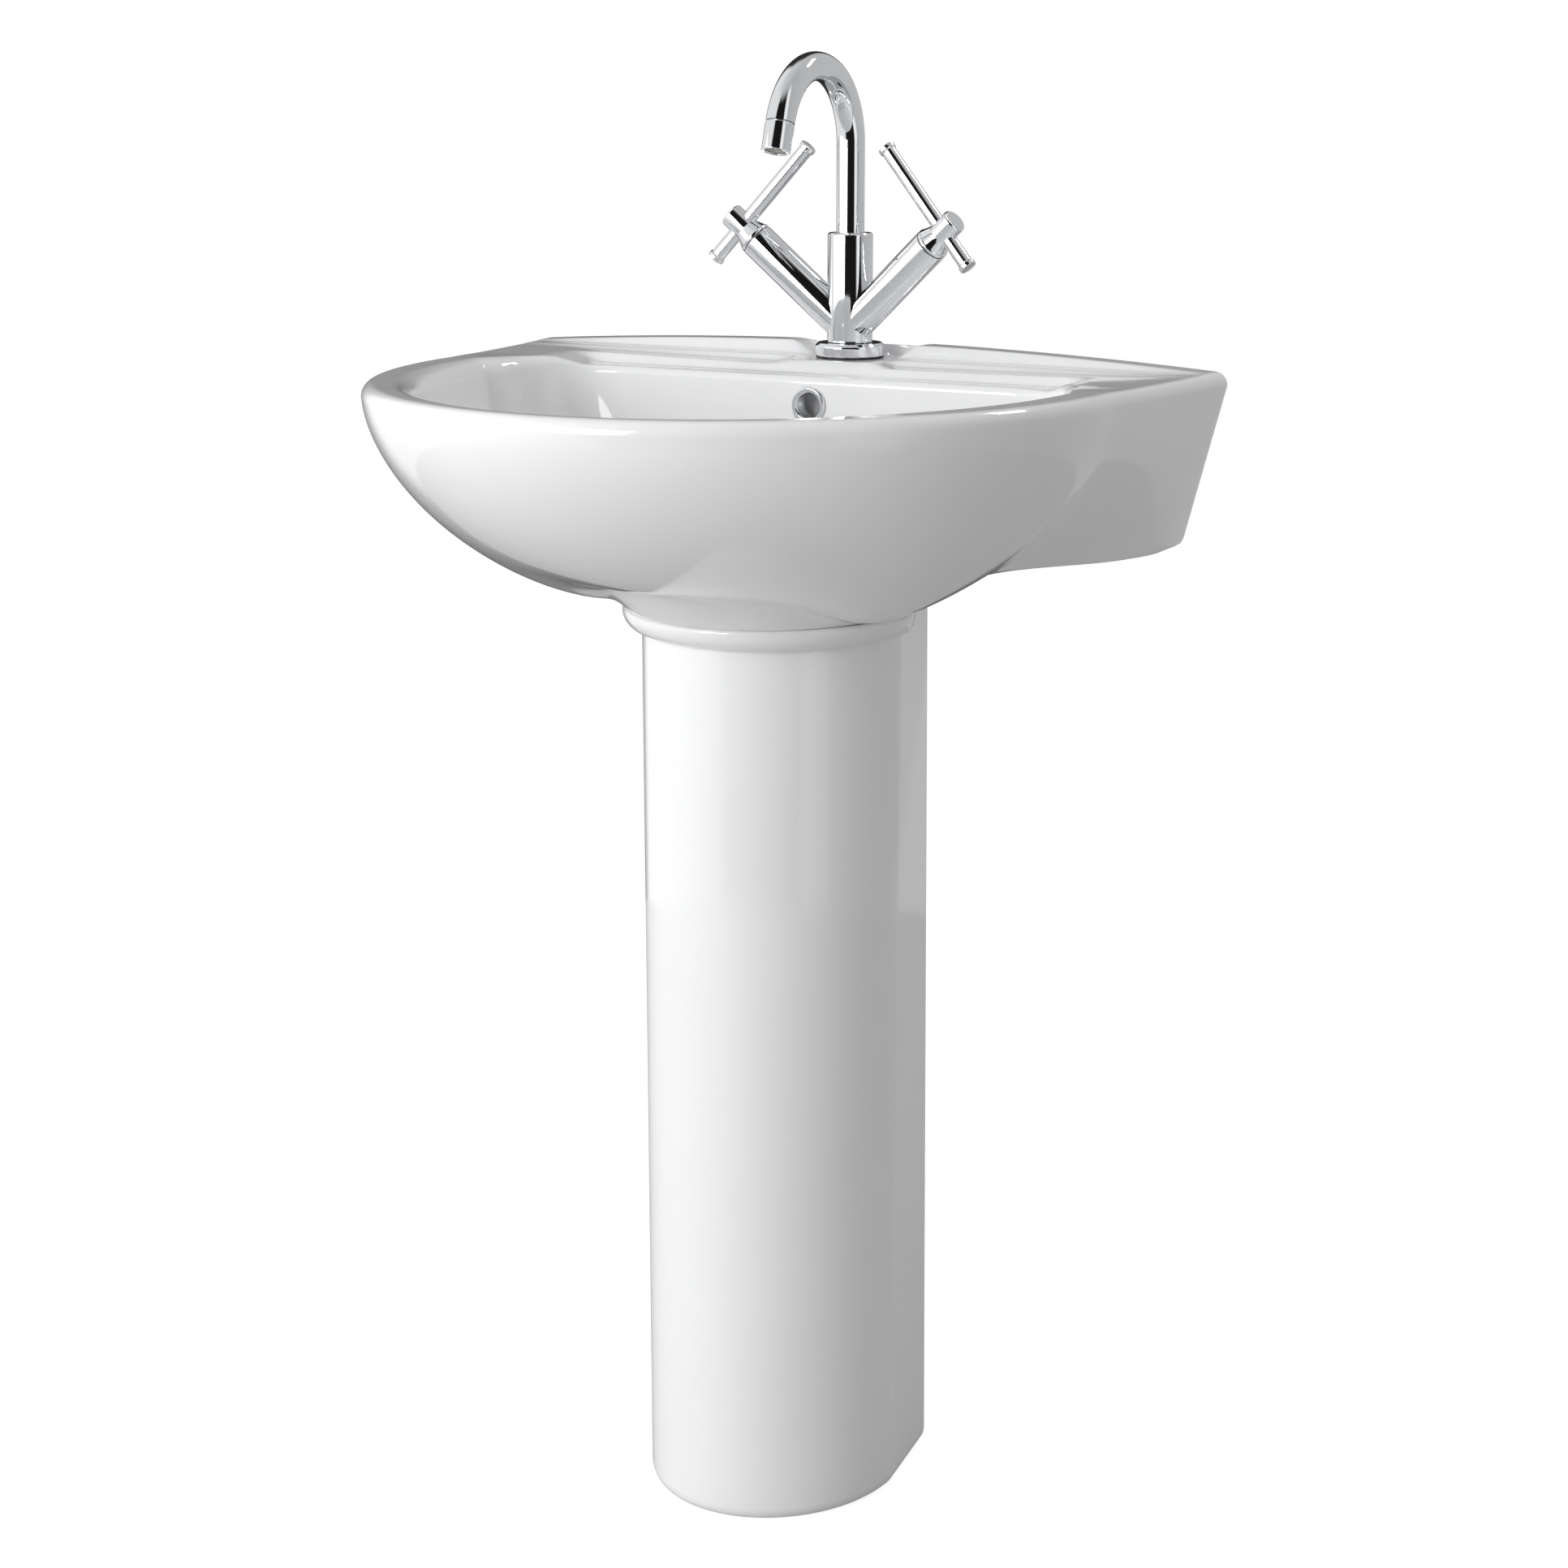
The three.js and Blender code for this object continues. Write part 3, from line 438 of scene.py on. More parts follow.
def white_polypropylene():
    """Moulded white plastic: a little translucent, with a fine spark-eroded texture."""
    surface = Surface("white_polypropylene", (0.83, 0.83, 0.81), 0.34, ior=1.49)
    surface.shader.inputs["Subsurface Weight"].default_value = 0.12
    surface.shader.inputs["Subsurface Radius"].default_value = (0.004, 0.004, 0.0035)
    surface.vary_color(surface.noise(30, 3), (0.79, 0.79, 0.765))
    surface.vary_roughness(surface.noise(160, 3), 0.27, 0.42)
    surface.bump(surface.noise(1200, 2), 0.12, 0.0001)
    return surface.material


def moulded_acetal():
    """Grey acetal with a fine moulded texture."""
    surface = Surface("moulded_acetal", (0.5, 0.48, 0.44), 0.5, ior=1.48)
    surface.vary_color(surface.noise(180, 3), (0.36, 0.345, 0.31))
    surface.vary_roughness(surface.noise(200, 3), 0.4, 0.6)
    surface.bump(surface.noise(1300, 2), 0.15, 0.0001)
    return surface.material


# ---- basin ----

def deck_rise(x, y):
    """Height of the basin's top surface above the rim."""
    arch = 1 - (x / BASIN["back_half"]) ** 2
    treads = [LOW_TREAD * arch, HIGH_TREAD * arch, LIP_RISE * arch]
    levels = [lerp(-LEDGE_DROP, treads[0], smooth(*LEDGE_END, abs(x))), *treads]
    rise = levels[0]
    for middle, low, high in zip(RISERS, levels, levels[1:]):
        rise += (high - low) * smooth(middle - RISER_RUN / 2, middle + RISER_RUN / 2, y)
    across = 1 - smooth(*PLATFORM_HALF, abs(x))
    platform = across * smooth(*PLATFORM_FRONT, y) * (1 - smooth(*PLATFORM_BACK, y))
    return lerp(rise, 0, platform) * smooth(*DECK_Y, y)


def outer_shape(y):
    """How far round to the boxy back a rim point at y is, and how deep the outside is there."""
    belly = lerp(FRONT_DEPTH, SIDE_DEPTH, smooth(*BELLY_Y, y))
    return smooth(*BOXY_Y, y), lerp(belly, CORNER_DEPTH, smooth(*SHALLOW_Y, y))


def outer_ring(t):
    """One ring of the outside, from the rim (t = 0) to the top of the neck (t = 1)."""
    angle = t * QUARTER
    bulge = [max(part, 0) ** (2 / BELLY_POWER) for part in (math.cos(angle), math.sin(angle))]
    wall = 0.7
    square = [1 if t < wall else 1 - (t - wall) / (1 - wall), min(t / wall, 1)]
    ring = []
    for (x, y), (neck_x, neck_y) in zip(outline(BASIN), outline(NECK_TOP)):
        boxy, depth = outer_shape(y)
        out, down = lerp(bulge[0], square[0], boxy), lerp(bulge[1], square[1], boxy)
        narrow = 1 - BACK_TAPER * down * boxy
        z = RIM_Z - RIM_RADIUS - (depth - RIM_RADIUS) * down
        ring.append((lerp(neck_x, x * narrow, out), lerp(neck_y, y, out), z))
    return ring


def softened(rings, rounds):
    """Eases each inner ring towards its neighbours, so that creases get a small radius."""
    for _ in range(rounds):
        eased = [rings[0]]
        for before, here, after in zip(rings, rings[1:], rings[2:]):
            eased.append([
                tuple((a + 2 * b + c) / 4 for a, b, c in zip(*points))
                for points in zip(before, here, after)
            ])
        rings = [*eased, rings[-1]]
    return rings


def blended(low_ring, high_ring, t):
    """A ring part of the way from one ring to another."""
    return [tuple(lerp(a, b, t) for a, b in zip(low, high)) for low, high in zip(low_ring, high_ring)]


def outside_rings():
    """The neck from its flat bottom, and the belly above it, up to the rim."""
    neck_bottom = flat_ring(outline(NECK), NECK_Z)
    neck = [blended(neck_bottom, outer_ring(1), t) for t in steps(8)[:-1]]
    belly = [outer_ring(1 - t) for t in steps(56)]
    return softened(neck + belly, 3)


def rim_rings():
    """The rounded edge at the top of the outside."""
    rings = []
    for t in steps(10)[1:]:
        angle = t * QUARTER
        inset, drop = RIM_RADIUS * (1 - math.cos(angle)), RIM_RADIUS * (1 - math.sin(angle))
        rings.append([(x, y, RIM_Z + deck_rise(x, y) - drop) for x, y in outline(moved(BASIN, inset))])
    return rings


def mouth_points():
    """Each point of the bowl's mouth, its edge's radius, and where that rounding starts on the rim.

    The edge is well rounded in front and at the sides, and crisper along the deck.
    """
    points = []
    for (x, y), (far_x, far_y) in zip(outline(BOWL), outline(moved(BOWL, -MOUTH_RADIUS))):
        radius = lerp(MOUTH_RADIUS, MOUTH_RADIUS_AT_DECK, smooth(70, 122, y))
        share = radius / MOUTH_RADIUS
        points.append(((x, y), radius, (lerp(x, far_x, share), lerp(y, far_y, share))))
    return points


def deck_rings():
    """The top surface, from the rim's edge to the rounding of the bowl's mouth."""
    edge = outline(moved(BASIN, RIM_RADIUS))
    rings = []
    for t in steps(84)[1:]:
        ring = []
        for (x, y), (_, _, (far_x, far_y)) in zip(edge, mouth_points()):
            px, py = lerp(x, far_x, t), lerp(y, far_y, t)
            ring.append((px, py, RIM_Z + deck_rise(px, py)))
        rings.append(ring)
    return rings


def mouth_rings():
    """The rounded edge of the bowl."""
    mouth = mouth_points()
    rings = []
    for t in steps(9)[1:]:
        angle = t * QUARTER
        ring = []
        for (x, y), radius, (far_x, far_y) in mouth:
            share = 1 - math.sin(angle)
            px, py = lerp(x, far_x, share), lerp(y, far_y, share)
            ring.append((px, py, RIM_Z + deck_rise(far_x, far_y) - radius * (1 - math.cos(angle))))
        rings.append(ring)
    return rings


def bowl_rings(top):
    """The inside of the bowl, from the ring at its top down to the drain."""
    drain = circle(WASTE_HOLE, WASTE_Y)
    rings = []
    for t in steps(40)[1:]:
        out, down = math.cos(t * QUARTER), math.sin(t * QUARTER)
        ring = []
        for (x, y, z), (drain_x, drain_y) in zip(top, drain):
            ring.append((lerp(drain_x, x, out), lerp(drain_y, y, out), lerp(z, BOWL_FLOOR_Z, down)))
        rings.append(ring)
    return rings


def grown_bowl(wall):
    """The bowl with its wall's thickness, which the hollow under the deck leaves alone."""
    mouth, drain = outline(moved(BOWL, -wall)), circle(WASTE_HOLE + wall, WASTE_Y)
    rings = []
    for t in steps(24):
        out, down = math.sin(t * QUARTER), math.cos(t * QUARTER)
        ring = []
        for (x, y), (drain_x, drain_y) in zip(mouth, drain):
            z = lerp(RIM_Z - MOUTH_RADIUS, BOWL_FLOOR_Z - wall, down)
            ring.append((lerp(drain_x, x, out), lerp(drain_y, y, out), z))
        rings.append(ring)
    rings.append(flat_ring(mouth, RIM_Z + 40))
    return skin("grown_bowl", rings)


def under_deck():
    """The hollow under the tap deck, open below, which leaves the neck and the overflow's duct."""
    low = plan(half=150, waist=140, front=118, back_half=205, back=WALL_Y - BASIN_WALL, corner=8)
    high = {**low, "half": 225, "back_half": 250}
    levels = [(low, NECK_Z - 50), (low, RIM_Z - 100), (high, CAVITY_TOP_Z)]
    hollow = skin("under_deck", [flat_ring(outline(shape), z) for shape, z in levels])
    duct_wall = block((-24, WASTE_Y, BOSS_Z), (24, DUCT_BACK + 10, CAVITY_TOP_Z + 5))
    neck = upright(outline(NECK), NECK_Z - 60, RIM_Z - 125)
    return cut(hollow, grown_bowl(BASIN_WALL), duct_wall, neck)


def basin_holes():
    """The holes for the waste, the overflow, the tap and the wall bolts, with their seats."""
    sideways = Matrix.Rotation(QUARTER, 4, "X")
    at_waste = (0, WASTE_Y, 0)
    at_tap = (0, TAP_Y, 0)
    fall = block((-DUCT_HALF, 143, DUCT_Z), (DUCT_HALF, DUCT_BACK, RIM_Z - 17))
    run = block((-DUCT_HALF, WASTE_Y, DUCT_Z), (DUCT_HALF, DUCT_BACK, DUCT_Z + 10))
    holes = [
        disc(WASTE_HOLE, BOSS_Z - 14, BOWL_FLOOR_Z + 5, middle=at_waste),
        disc(WASTE_HOLE + 10, BOWL_FLOOR_Z, BOWL_FLOOR_Z + 6, middle=at_waste),
        disc(14, 0, 8, middle=(0, OVERFLOW_Y, OVERFLOW_Z), turn=sideways),
        disc(11.6, -36, 0, middle=(0, 112, OVERFLOW_Z), turn=sideways),
        fall,
        run,
        disc(TAP_HOLE, RIM_Z - 60, RIM_Z + 20, middle=at_tap),
        disc(FLANGE_RADIUS + 0.6, RIM_Z, RIM_Z + 30, middle=at_tap),
    ]
    for side in ("left", "right"):
        low, high = corners(f"{side}_wall_bolt")
        at_bolt = ((low.x + high.x) / 2, WALL_Y, (low.z + high.z) / 2)
        holes.append(disc(7, -30, 30, middle=at_bolt, turn=sideways))
    return holes


def basin(ceramic):
    mouth = mouth_rings()
    body = skin("basin", outside_rings() + rim_rings() + deck_rings() + mouth + bowl_rings(mouth[-1]))
    body = cut(body, under_deck(), upright(outline(NECK_POCKET), NECK_Z - 10, POCKET_Z))
    body = join(body, upright(circle(36, WASTE_Y), BOSS_Z, POCKET_Z + 10))
    stands_for(cut(body, *basin_holes()), "basin", ceramic)


# ---- pedestal ----

def pedestal_ring(z, inset, lip):
    """The column's outline at a height, with the lip's share added in front and at the sides."""
    shape = {key: lerp(FOOT[key], HEAD[key], z / PEDESTAL_TOP) for key in FOOT}
    waist = FOOT["waist"]
    ring = []
    for x, y in outline(moved(shape, inset)):
        reach = math.hypot(x, y - waist)
        scale = (reach + lip * (1 - smooth(*LIP_FADE, y))) / reach
        ring.append((x * scale, waist + (y - waist) * (scale if y < waist else 1), z))
    return ring


def pedestal_rings():
    """The column from its rounded foot to its collar, whose outside is a quarter round."""
    bend = PEDESTAL_TOP - LIP_HEIGHT - LIP_EDGE
    rings = []
    for t in steps(8):
        out, up = 1 - math.sin(t * QUARTER), 1 - math.cos(t * QUARTER)
        rings.append(pedestal_ring(FOOT_RISE * up, FOOT_RADIUS * out, 0))
    for t in steps(30)[1:]:
        rings.append(pedestal_ring(lerp(FOOT_RISE, bend, t), 0, 0))
    for t in steps(14)[1:]:
        up = (1 - math.cos(t * QUARTER)) ** 0.9
        rings.append(pedestal_ring(bend + LIP_HEIGHT * up, 0, LIP_OUT * math.sin(t * QUARTER)))
    for t in steps(6)[1:]:
        back, down = 1 - math.cos(t * QUARTER), 1 - math.sin(t * QUARTER)
        rings.append(pedestal_ring(PEDESTAL_TOP - LIP_EDGE * down, 0, LIP_OUT - LIP_EDGE * back))
    return rings


def pedestal(ceramic):
    inside = {**moved(FOOT, BASIN_WALL), "back": FOOT["back"] + 20}
    body = cut(skin("pedestal", pedestal_rings()), upright(outline(inside), -10, PEDESTAL_TOP + 10))
    for side, name in ((-1, "left"), (1, "right")):
        low, high = corners(f"{name}_floor_screw")
        x, y = (low.x + high.x) / 2, (low.y + high.y) / 2
        near, far = sorted((side * LUG_INNER, side * (FOOT["back_half"] - 4)))
        body = join(body, block((near, y - LUG_HALF, 0), (far, y + LUG_HALF, LUG_HEIGHT)))
        body = cut(body, disc(3.6, -5, 30, middle=(x, y, 0)))
    stands_for(body, "pedestal", ceramic)


# ---- waste, overflow and trap ----

def overflow_ring(chrome):
    """A ring pushed into the overflow hole, with a rounded flange on the bowl's wall."""
    profile = [
        (9, -10), (11.2, -10), (11.2, 0.3), (13.6, 0.3),
        (13.6, 1.6), (12.6, 2.6), (10.2, 2.6), (9, 1.4),
    ]
    turn = Matrix.Rotation(QUARTER, 4, "X")
    ring = turned("ring", profile, 0.6, middle=(0, OVERFLOW_Y, OVERFLOW_Z), turn=turn)
    stands_for(ring, "overflow_ring", chrome)


def waste_plug(chrome):
    """The domed plug, closed on its seal."""
    under, rise = BOWL_FLOOR_Z + 6.1, 4.2
    dome = [(0, under - 0.8), (3.4, under - 0.8), (3.4, under), (28, under), (29.5, under + 1)]
    for t in steps(10):
        radius = 28.8 * math.cos(t * QUARTER * 0.8)
        dome.append((radius, under + 2 + rise * math.sin(t * QUARTER)))
    dome.append((0, under + 2 + rise))
    stands_for(turned("plug", dome, 0.4, middle=(0, WASTE_Y, 0)), "waste_plug", chrome)


def trap(plastic, chrome):
    """The outside of the bottle trap: its cup, its two nuts and its flange on the wall."""
    middle = (0, WASTE_Y, 0)
    low, high = (corner.z for corner in corners("trap_cup"))
    cup = [
        (0, low), (20, low + 2), (28, low + 9), (30.5, low + 20),
        (30.5, high - 14), (30.05, high - 13.5), (30.05, high - 12), (30.5, high - 11.5),
        (30.5, high), (26.8, high), (26.8, low + 20), (24, low + 12), (18, low + 6), (0, low + 4),
    ]
    stands_for(turned("cup", cup, 1.2, middle=middle), "trap_cup", plastic)
    low, high = (corner.z for corner in corners("trap_inlet_nut"))
    lip = low + 5.7
    profile = [(16.4, low), (27, low), (27, high), (21.4, high), (21.4, lip), (16.4, lip)]
    nut = ribbed_nut(profile, ribs=28)
    nut.data.transform(Matrix.Translation(Vector(middle) * MM))
    stands_for(nut, "trap_inlet_nut", plastic)
    (low_x, near, low_z), (high_x, far, high_z) = corners("trap_outlet_nut")
    outlet = ((low_x + high_x) / 2, 0, (low_z + high_z) / 2)
    lip = near + 19
    profile = [(16.3, far), (23, far), (23, near), (18.2, near), (18.2, lip), (16.3, lip)]
    nut = ribbed_nut(profile, ribs=24)
    to_wall = Matrix.Rotation(-QUARTER, 4, "X")
    nut.data.transform(Matrix.Translation(Vector(outlet) * MM) @ to_wall)
    stands_for(nut, "trap_outlet_nut", plastic)
    wall = corners("trap_wall_flange")[1].y
    profile = [
        (16.4, wall - 9), (19, wall - 9), (21, wall - 6),
        (31, wall - 3), (33, wall), (16.4, wall),
    ]
    flange = turned("flange", profile, 1.2, middle=outlet, turn=to_wall)
    stands_for(flange, "trap_wall_flange", chrome)


def ribbed_nut(profile, ribs, depth=0.9):
    """A hand nut whose outer face has grip ribs of a given depth."""
    outer = max(r for r, _ in profile)
    segments = ribs * 6
    rings = []
    for r, h in rounded(profile, 0.8):
        ring = []
        for j in range(segments):
            angle = 2 * math.pi * j / segments
            dip = depth * (0.5 - 0.5 * math.cos(ribs * angle)) if r > outer - 1 else 0
            ring.append(((r - dip) * math.cos(angle), (r - dip) * math.sin(angle), h))
        rings.append(ring)
    return skin("nut", rings, looped=True)


# ---- tap, about its own axis, with Z = 0 on the platform ----

ARM_ANGLE = math.radians(41.6)
ARM_LEAN = math.radians(9.5)
ARM_Z = 20
ARM_RADIUS = 13
ARM_END = 97
BODY_FLOOR = 1.8
FOOT_BORE = 13.6
FOOT_BORE_TOP = 11.5
COLUMN_RADIUS = 16.6
COLUMN_TOP = 91
COLUMN_CHAMFER = 1.2
CARTRIDGE_BORE = 10.3
CARTRIDGE_SEAT = 42
SPOUT_SOCKET = 13
SOCKET_FLOOR = 54
PIPE_RADIUS = 10.3
PIPE_BORE = 8.5
PIPE_FOOT = 55
SPRING_Z = 155
SPOUT_BEND = 55
SPOUT_SWEEP = math.radians(162)
AERATOR_LENGTH = 21
BAR_AT = 112
TAP_FOOT = Vector((0, TAP_Y, RIM_Z))


def arm_turn(side):
    """Turns a piece made about +Z onto an arm's axis; side is -1 for hot and +1 for cold."""
    lean = Matrix.Rotation(-side * ARM_LEAN, 4, "Z")
    return lean @ Matrix.Rotation(side * (QUARTER - ARM_ANGLE), 4, "Y")


def on_arm(profile, side, edge=0.6):
    middle = TAP_FOOT + Vector((0, 0, ARM_Z))
    return turned("arm_piece", profile, edge, middle=middle, turn=arm_turn(side))


def tap_body(chrome):
    """The column with its two arms, bored for the cartridges and the spout."""
    column = [
        (0, BODY_FLOOR), (FOOT_BORE, BODY_FLOOR), (FOOT_BORE, FOOT_BORE_TOP), (COLUMN_RADIUS, FOOT_BORE_TOP),
        (COLUMN_RADIUS, COLUMN_TOP - COLUMN_CHAMFER), (COLUMN_RADIUS - COLUMN_CHAMFER, COLUMN_TOP),
        (0, COLUMN_TOP),
    ]
    body = turned("column", column, 0.5, segments=160, middle=TAP_FOOT)
    arm = [(0, 0), (ARM_RADIUS, 0), (ARM_RADIUS, ARM_END), (0, ARM_END)]
    body = join(body, on_arm(arm, -1))
    body = join(body, on_arm(arm, 1))
    past = ARM_END + 5
    bore = [(0, CARTRIDGE_SEAT), (CARTRIDGE_BORE, CARTRIDGE_SEAT), (CARTRIDGE_BORE, past), (0, past)]
    body = cut(body, on_arm(bore, -1, 0))
    body = cut(body, on_arm(bore, 1, 0))
    body = cut(body, disc(SPOUT_SOCKET, SOCKET_FLOOR, COLUMN_TOP + 5, middle=TAP_FOOT))
    stands_for(body, "tap_body", chrome)


def tap_flange(chrome):
    """The round plate at the foot of the column, with a small bevel round its top."""
    inner, outer, bevel = 13.9, FLANGE_RADIUS, 2
    bottom, top = 1.6, 11.2
    profile = [
        (inner, bottom), (outer - 0.4, bottom), (outer, bottom + 0.6),
        (outer, top - bevel), (outer - bevel, top), (inner, top),
    ]
    stands_for(turned("flange", profile, 0.7, middle=TAP_FOOT), "tap_base_flange", chrome)


def handle(side, name, chrome):
    """The hub with its skirt over the arm's end, and the bar that crosses it."""
    foot = ARM_END + 0.6
    skirt, neck, end = ARM_RADIUS - 0.2, 9, 125
    hub = [
        (0, foot), (skirt, foot), (skirt, foot + 2.2), (skirt - 0.7, foot + 3),
        (neck + 0.5, foot + 9.5), (neck, foot + 11), (neck, end - 1), (neck - 1, end), (0, end),
    ]
    stands_for(on_arm(hub, side, 0.7), f"{name}_handle_hub", chrome)
    short, long, radius = -33, 78, 5.3
    knob = radius + 1
    bar = [
        (0, short), (knob, short), (knob, short + 3), (radius, short + 4),
        (radius, long - 4), (knob, long - 3), (knob, long), (0, long),
    ]
    across = Matrix.Translation((0, 0, BAR_AT)) @ Matrix.Rotation(-side * QUARTER, 4, "Y")
    middle = TAP_FOOT + Vector((0, 0, ARM_Z))
    bar = turned("bar", bar, 0.6, segments=64, middle=middle, turn=arm_turn(side) @ across)
    stands_for(bar, f"{name}_handle_bar", chrome)


def neck_frame(along):
    """A place on the swan neck's centre line and its direction, at a distance from the foot."""
    straight = SPRING_Z - PIPE_FOOT
    if along < straight:
        return Vector((0, 0, PIPE_FOOT + along)), Vector((0, 0, 1))
    angle = (along - straight) / SPOUT_BEND
    place = Vector((0, -SPOUT_BEND * (1 - math.cos(angle)), SPRING_Z + SPOUT_BEND * math.sin(angle)))
    return place, Vector((0, -math.sin(angle), math.cos(angle)))


def spout_pipe(chrome):
    """The swan neck: its outside from the foot to the outlet, and its bore back again."""
    length = SPRING_Z - PIPE_FOOT + SPOUT_BEND * SPOUT_SWEEP
    segments = 96
    walls = [(t * length, PIPE_RADIUS) for t in steps(110)]
    walls += [((1 - t) * length, PIPE_BORE) for t in steps(110)]
    rings = []
    for along, radius in walls:
        place, direction = neck_frame(along)
        up = Vector((1, 0, 0)).cross(direction)
        ring = []
        for j in range(segments):
            angle = 2 * math.pi * j / segments
            spoke = Vector((1, 0, 0)) * math.cos(angle) + up * math.sin(angle)
            ring.append(TAP_FOOT + place + radius * spoke)
        rings.append(ring)
    stands_for(skin("pipe", rings, looped=True), "spout_pipe", chrome)


def on_outlet(profile, edge=0.4):
    """A turned piece on the end of the swan neck, with its outlet end at height 0."""
    sweep = SPOUT_SWEEP
    y = -SPOUT_BEND * (1 - math.cos(sweep)) - AERATOR_LENGTH * math.sin(sweep)
    z = SPRING_Z + SPOUT_BEND * math.sin(sweep) + AERATOR_LENGTH * math.cos(sweep)
    turn = Matrix.Rotation(sweep - math.pi, 4, "X")
    return turned("outlet_piece", profile, edge, middle=TAP_FOOT + Vector((0, y, z)), turn=turn)


def aerator(chrome, acetal):
    """The outlet's housing, with a shadow groove where it meets the pipe, and its ridged insert."""
    top, outer, groove = AERATOR_LENGTH - 0.3, PIPE_RADIUS, PIPE_RADIUS - 0.5
    housing = [
        (7.4, 0), (outer - 0.3, 0), (outer, 0.5), (outer, top - 1), (groove, top - 0.5),
        (groove, top), (7.5, top), (7.5, top + 7), (5.5, top + 7), (5.5, 13), (7.4, 13),
    ]
    stands_for(on_outlet(housing), "aerator_housing", chrome)
    ridges = [(0, 1.2)]
    for i in range(6):
        ridges += [(1 + i, 1.2), (1.3 + i, 1.8), (1.7 + i, 1.8), (2 + i, 1.2)]
    insert = [*ridges, (7.1, 1.2), (7.1, 11), (0, 11)]
    stands_for(on_outlet(insert, 0.05), "aerator_insert", acetal)


# ---- studio ----

def add_camera():
    """A camera a little to the user's right and above the rim, with the whole object in view."""
    azimuth, pitch = math.radians(28.55), math.radians(13.46)
    distance, beside, above_rim = 2112, 46, 222.4
    focal_in_frame_widths = 1.961
    data = bpy.data.cameras.new("camera")
    data.sensor_width = 36
    data.lens = data.sensor_width * focal_in_frame_widths
    camera = bpy.data.objects.new("camera", data)
    x = distance * math.sin(azimuth) + beside * math.cos(azimuth)
    y = -distance * math.cos(azimuth) + beside * math.sin(azimuth)
    camera.location = Vector((x, y, RIM_Z + above_rim)) * MM
    camera.rotation_euler = (QUARTER - pitch, 0, azimuth)
    bpy.context.scene.collection.objects.link(camera)
    bpy.context.scene.camera = camera


def add_floor():
    """A plain pale floor that reads white from the camera and throws only a little light up."""
    surface = Surface("studio_floor", (0.35, 0.35, 0.35), 0.6)
    surface.vary_roughness(surface.noise(3, 3), 0.5, 0.7)
    surface.shader.inputs["Specular IOR Level"].default_value = 0.1
    surface.shader.inputs["Emission Color"].default_value = (1, 1, 1, 1)
    seen = surface.tree.nodes.new("ShaderNodeLightPath")
    glow = surface.tree.nodes.new("ShaderNodeMapRange")
    glow.inputs["To Min"].default_value = 0.1
    glow.inputs["To Max"].default_value = 0.84
    surface.tree.links.new(seen.outputs["Is Camera Ray"], glow.inputs["Value"])
    surface.tree.links.new(glow.outputs["Result"], surface.shader.inputs["Emission Strength"])
    far, sides = 1700, 64
    turn = 2 * math.pi / sides
    edge = [(far * math.cos(j * turn), far * math.sin(j * turn)) for j in range(sides)]
    floor = skin("floor", [flat_ring(edge, z) for z in (-60, -1)])
    floor.data.materials.append(surface.material)


def add_light(name, place, target, size, power):
    """A soft box; places and sizes are metres."""
    data = bpy.data.lights.new(name, "AREA")
    data.shape = "RECTANGLE"
    data.size, data.size_y = size
    data.energy = power
    light = bpy.data.objects.new(name, data)
    light.location = place
    light.rotation_euler = (Vector(target) - Vector(place)).to_track_quat("-Z", "Y").to_euler()
    bpy.context.scene.collection.objects.link(light)


# Brightness round the horizon, as (share of a turn, level): -Y is 0 and 1, -X a quarter, +Y a half.
HORIZON = [
    (0, 0.01), (0.025, 0.01), (0.05, 0.88), (0.33, 0.88), (0.36, 0.03), (0.45, 0.03), (0.48, 0.55),
    (0.6, 0.55), (0.765, 0.5), (0.785, 1), (0.825, 1), (0.845, 0.01), (1, 0.01),
]


def ranged(tree, value, from_low, from_high, to_low, to_high, kind="LINEAR"):
    """A Map Range node's result, for a value in the world's node tree."""
    node = tree.nodes.new("ShaderNodeMapRange")
    node.interpolation_type = kind
    node.inputs["From Min"].default_value = from_low
    node.inputs["From Max"].default_value = from_high
    node.inputs["To Min"].default_value = to_low
    node.inputs["To Max"].default_value = to_high
    tree.links.new(value, node.inputs["Value"])
    return node.outputs["Result"]


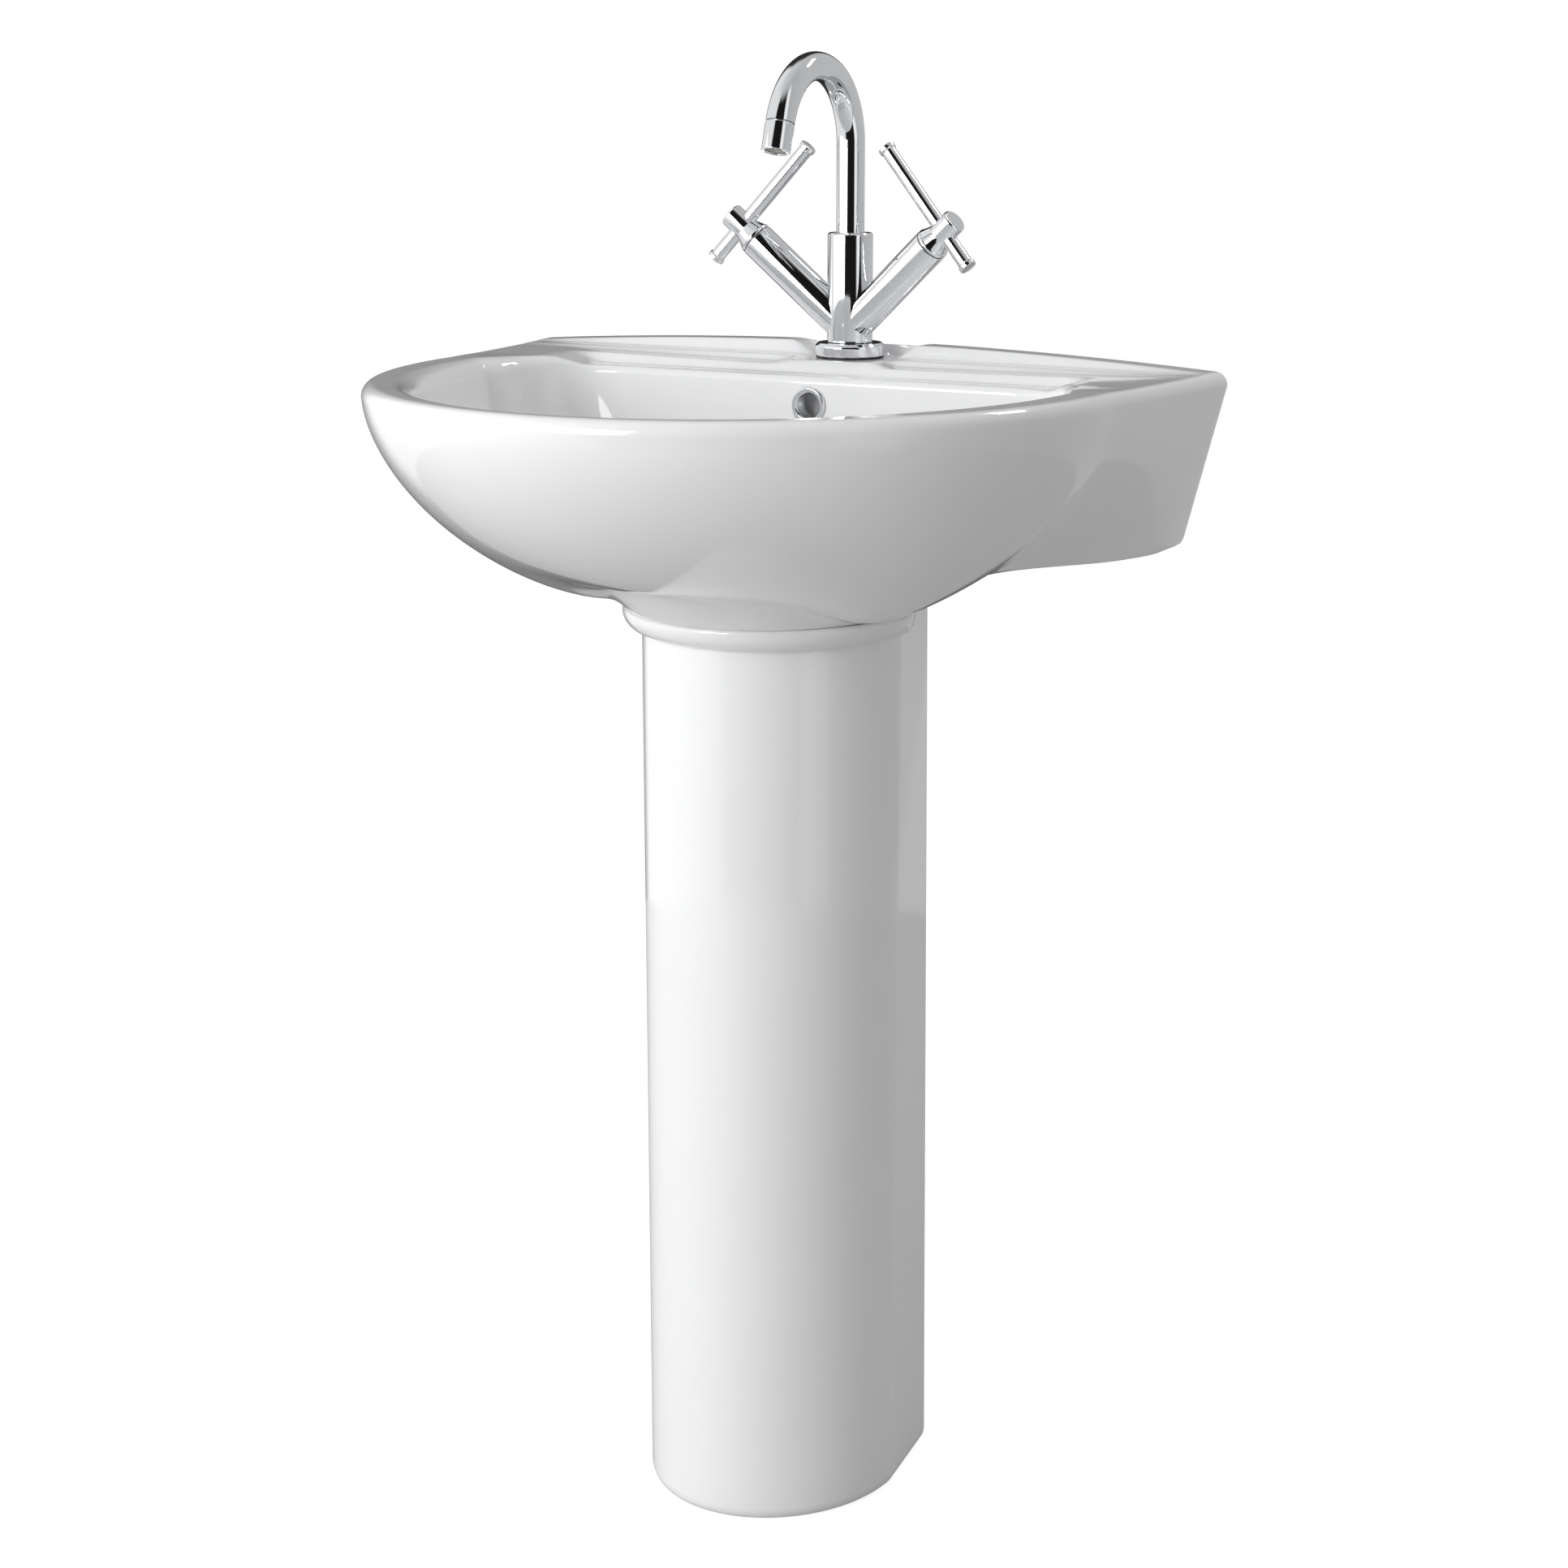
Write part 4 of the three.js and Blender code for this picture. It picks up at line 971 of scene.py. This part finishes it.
def add_world():
    """A white backdrop for the camera, and for everything else a studio of bright and dark bands.

    The bands run round the horizon and nearly to the zenith, where the light fades to a grey that
    falls from left to right.
    """
    world = bpy.data.worlds.new("studio")
    bpy.context.scene.world = world
    world.use_nodes = True
    tree = world.node_tree
    link = tree.links.new
    place = tree.nodes.new("ShaderNodeTexCoord")
    apart = tree.nodes.new("ShaderNodeSeparateXYZ")
    link(place.outputs["Generated"], apart.inputs["Vector"])
    azimuth = tree.nodes.new("ShaderNodeMath")
    azimuth.operation = "ARCTAN2"
    link(apart.outputs["X"], azimuth.inputs[0])
    link(apart.outputs["Y"], azimuth.inputs[1])
    around = tree.nodes.new("ShaderNodeValToRGB")
    ramp = around.color_ramp
    while len(ramp.elements) < len(HORIZON):
        ramp.elements.new(0.5)
    for element, (position, level) in zip(ramp.elements, HORIZON):
        element.position = position
        element.color = (level, level, level, 1)
    link(ranged(tree, azimuth.outputs["Value"], -math.pi, math.pi, 0, 1), around.inputs["Fac"])
    height = tree.nodes.new("ShaderNodeMath")
    height.operation = "ABSOLUTE"
    link(apart.outputs["Z"], height.inputs[0])
    above = ranged(tree, height.outputs["Value"], 0.75, 0.95, 0, 1, "SMOOTHSTEP")
    mix = tree.nodes.new("ShaderNodeMix")
    mix.data_type = "RGBA"
    link(above, mix.inputs["Factor"])
    link(around.outputs["Color"], mix.inputs["A"])
    link(ranged(tree, apart.outputs["X"], -0.8, 0.8, 0.75, 0.45, "SMOOTHSTEP"), mix.inputs["B"])
    lit = tree.nodes["Background"]
    link(mix.outputs["Result"], lit.inputs["Color"])
    plain = tree.nodes.new("ShaderNodeBackground")
    plain.inputs["Color"].default_value = (1, 1, 1, 1)
    seen = tree.nodes.new("ShaderNodeLightPath")
    choose = tree.nodes.new("ShaderNodeMixShader")
    link(seen.outputs["Is Camera Ray"], choose.inputs["Fac"])
    link(lit.outputs["Background"], choose.inputs[1])
    link(plain.outputs["Background"], choose.inputs[2])
    link(choose.outputs["Shader"], tree.nodes["World Output"].inputs["Surface"])


def add_studio():
    add_camera()
    add_floor()
    add_world()
    add_light("key", (-2.6, -2.1, 1.3), (0, 0, 0.6), (2.2, 2.2), 12)
    add_light("fill", (-0.9, -3.3, 1.5), (0, 0, 0.6), (1.8, 2.2), 86)
    add_light("rim_glint", (0.55, 1.0, 1.96), (0.24, -0.05, 0.838), (0.45, 0.16), 4)
    bpy.context.scene.view_settings.view_transform = "Standard"


# ---- assembly ----

def build():
    finishes = {
        "ceramic": glazed_ceramic(),
        "chrome": polished_chrome(),
        "brass": turned_brass(),
        "steel": zinc_steel(),
        "rubber": moulded_rubber(),
        "white_plastic": white_polypropylene(),
        "acetal": moulded_acetal(),
    }
    for name, node in frame["nodes"].items():
        node.data.materials.clear()
        node.data.materials.append(finishes[SLOT_OF[name]])
        shade(node)
    basin(finishes["ceramic"])
    pedestal(finishes["ceramic"])
    overflow_ring(finishes["chrome"])
    waste_plug(finishes["chrome"])
    trap(finishes["white_plastic"], finishes["chrome"])
    tap_body(finishes["chrome"])
    tap_flange(finishes["chrome"])
    handle(-1, "hot", finishes["chrome"])
    handle(1, "cold", finishes["chrome"])
    spout_pipe(finishes["chrome"])
    aerator(finishes["chrome"], finishes["acetal"])


add_studio()
build()
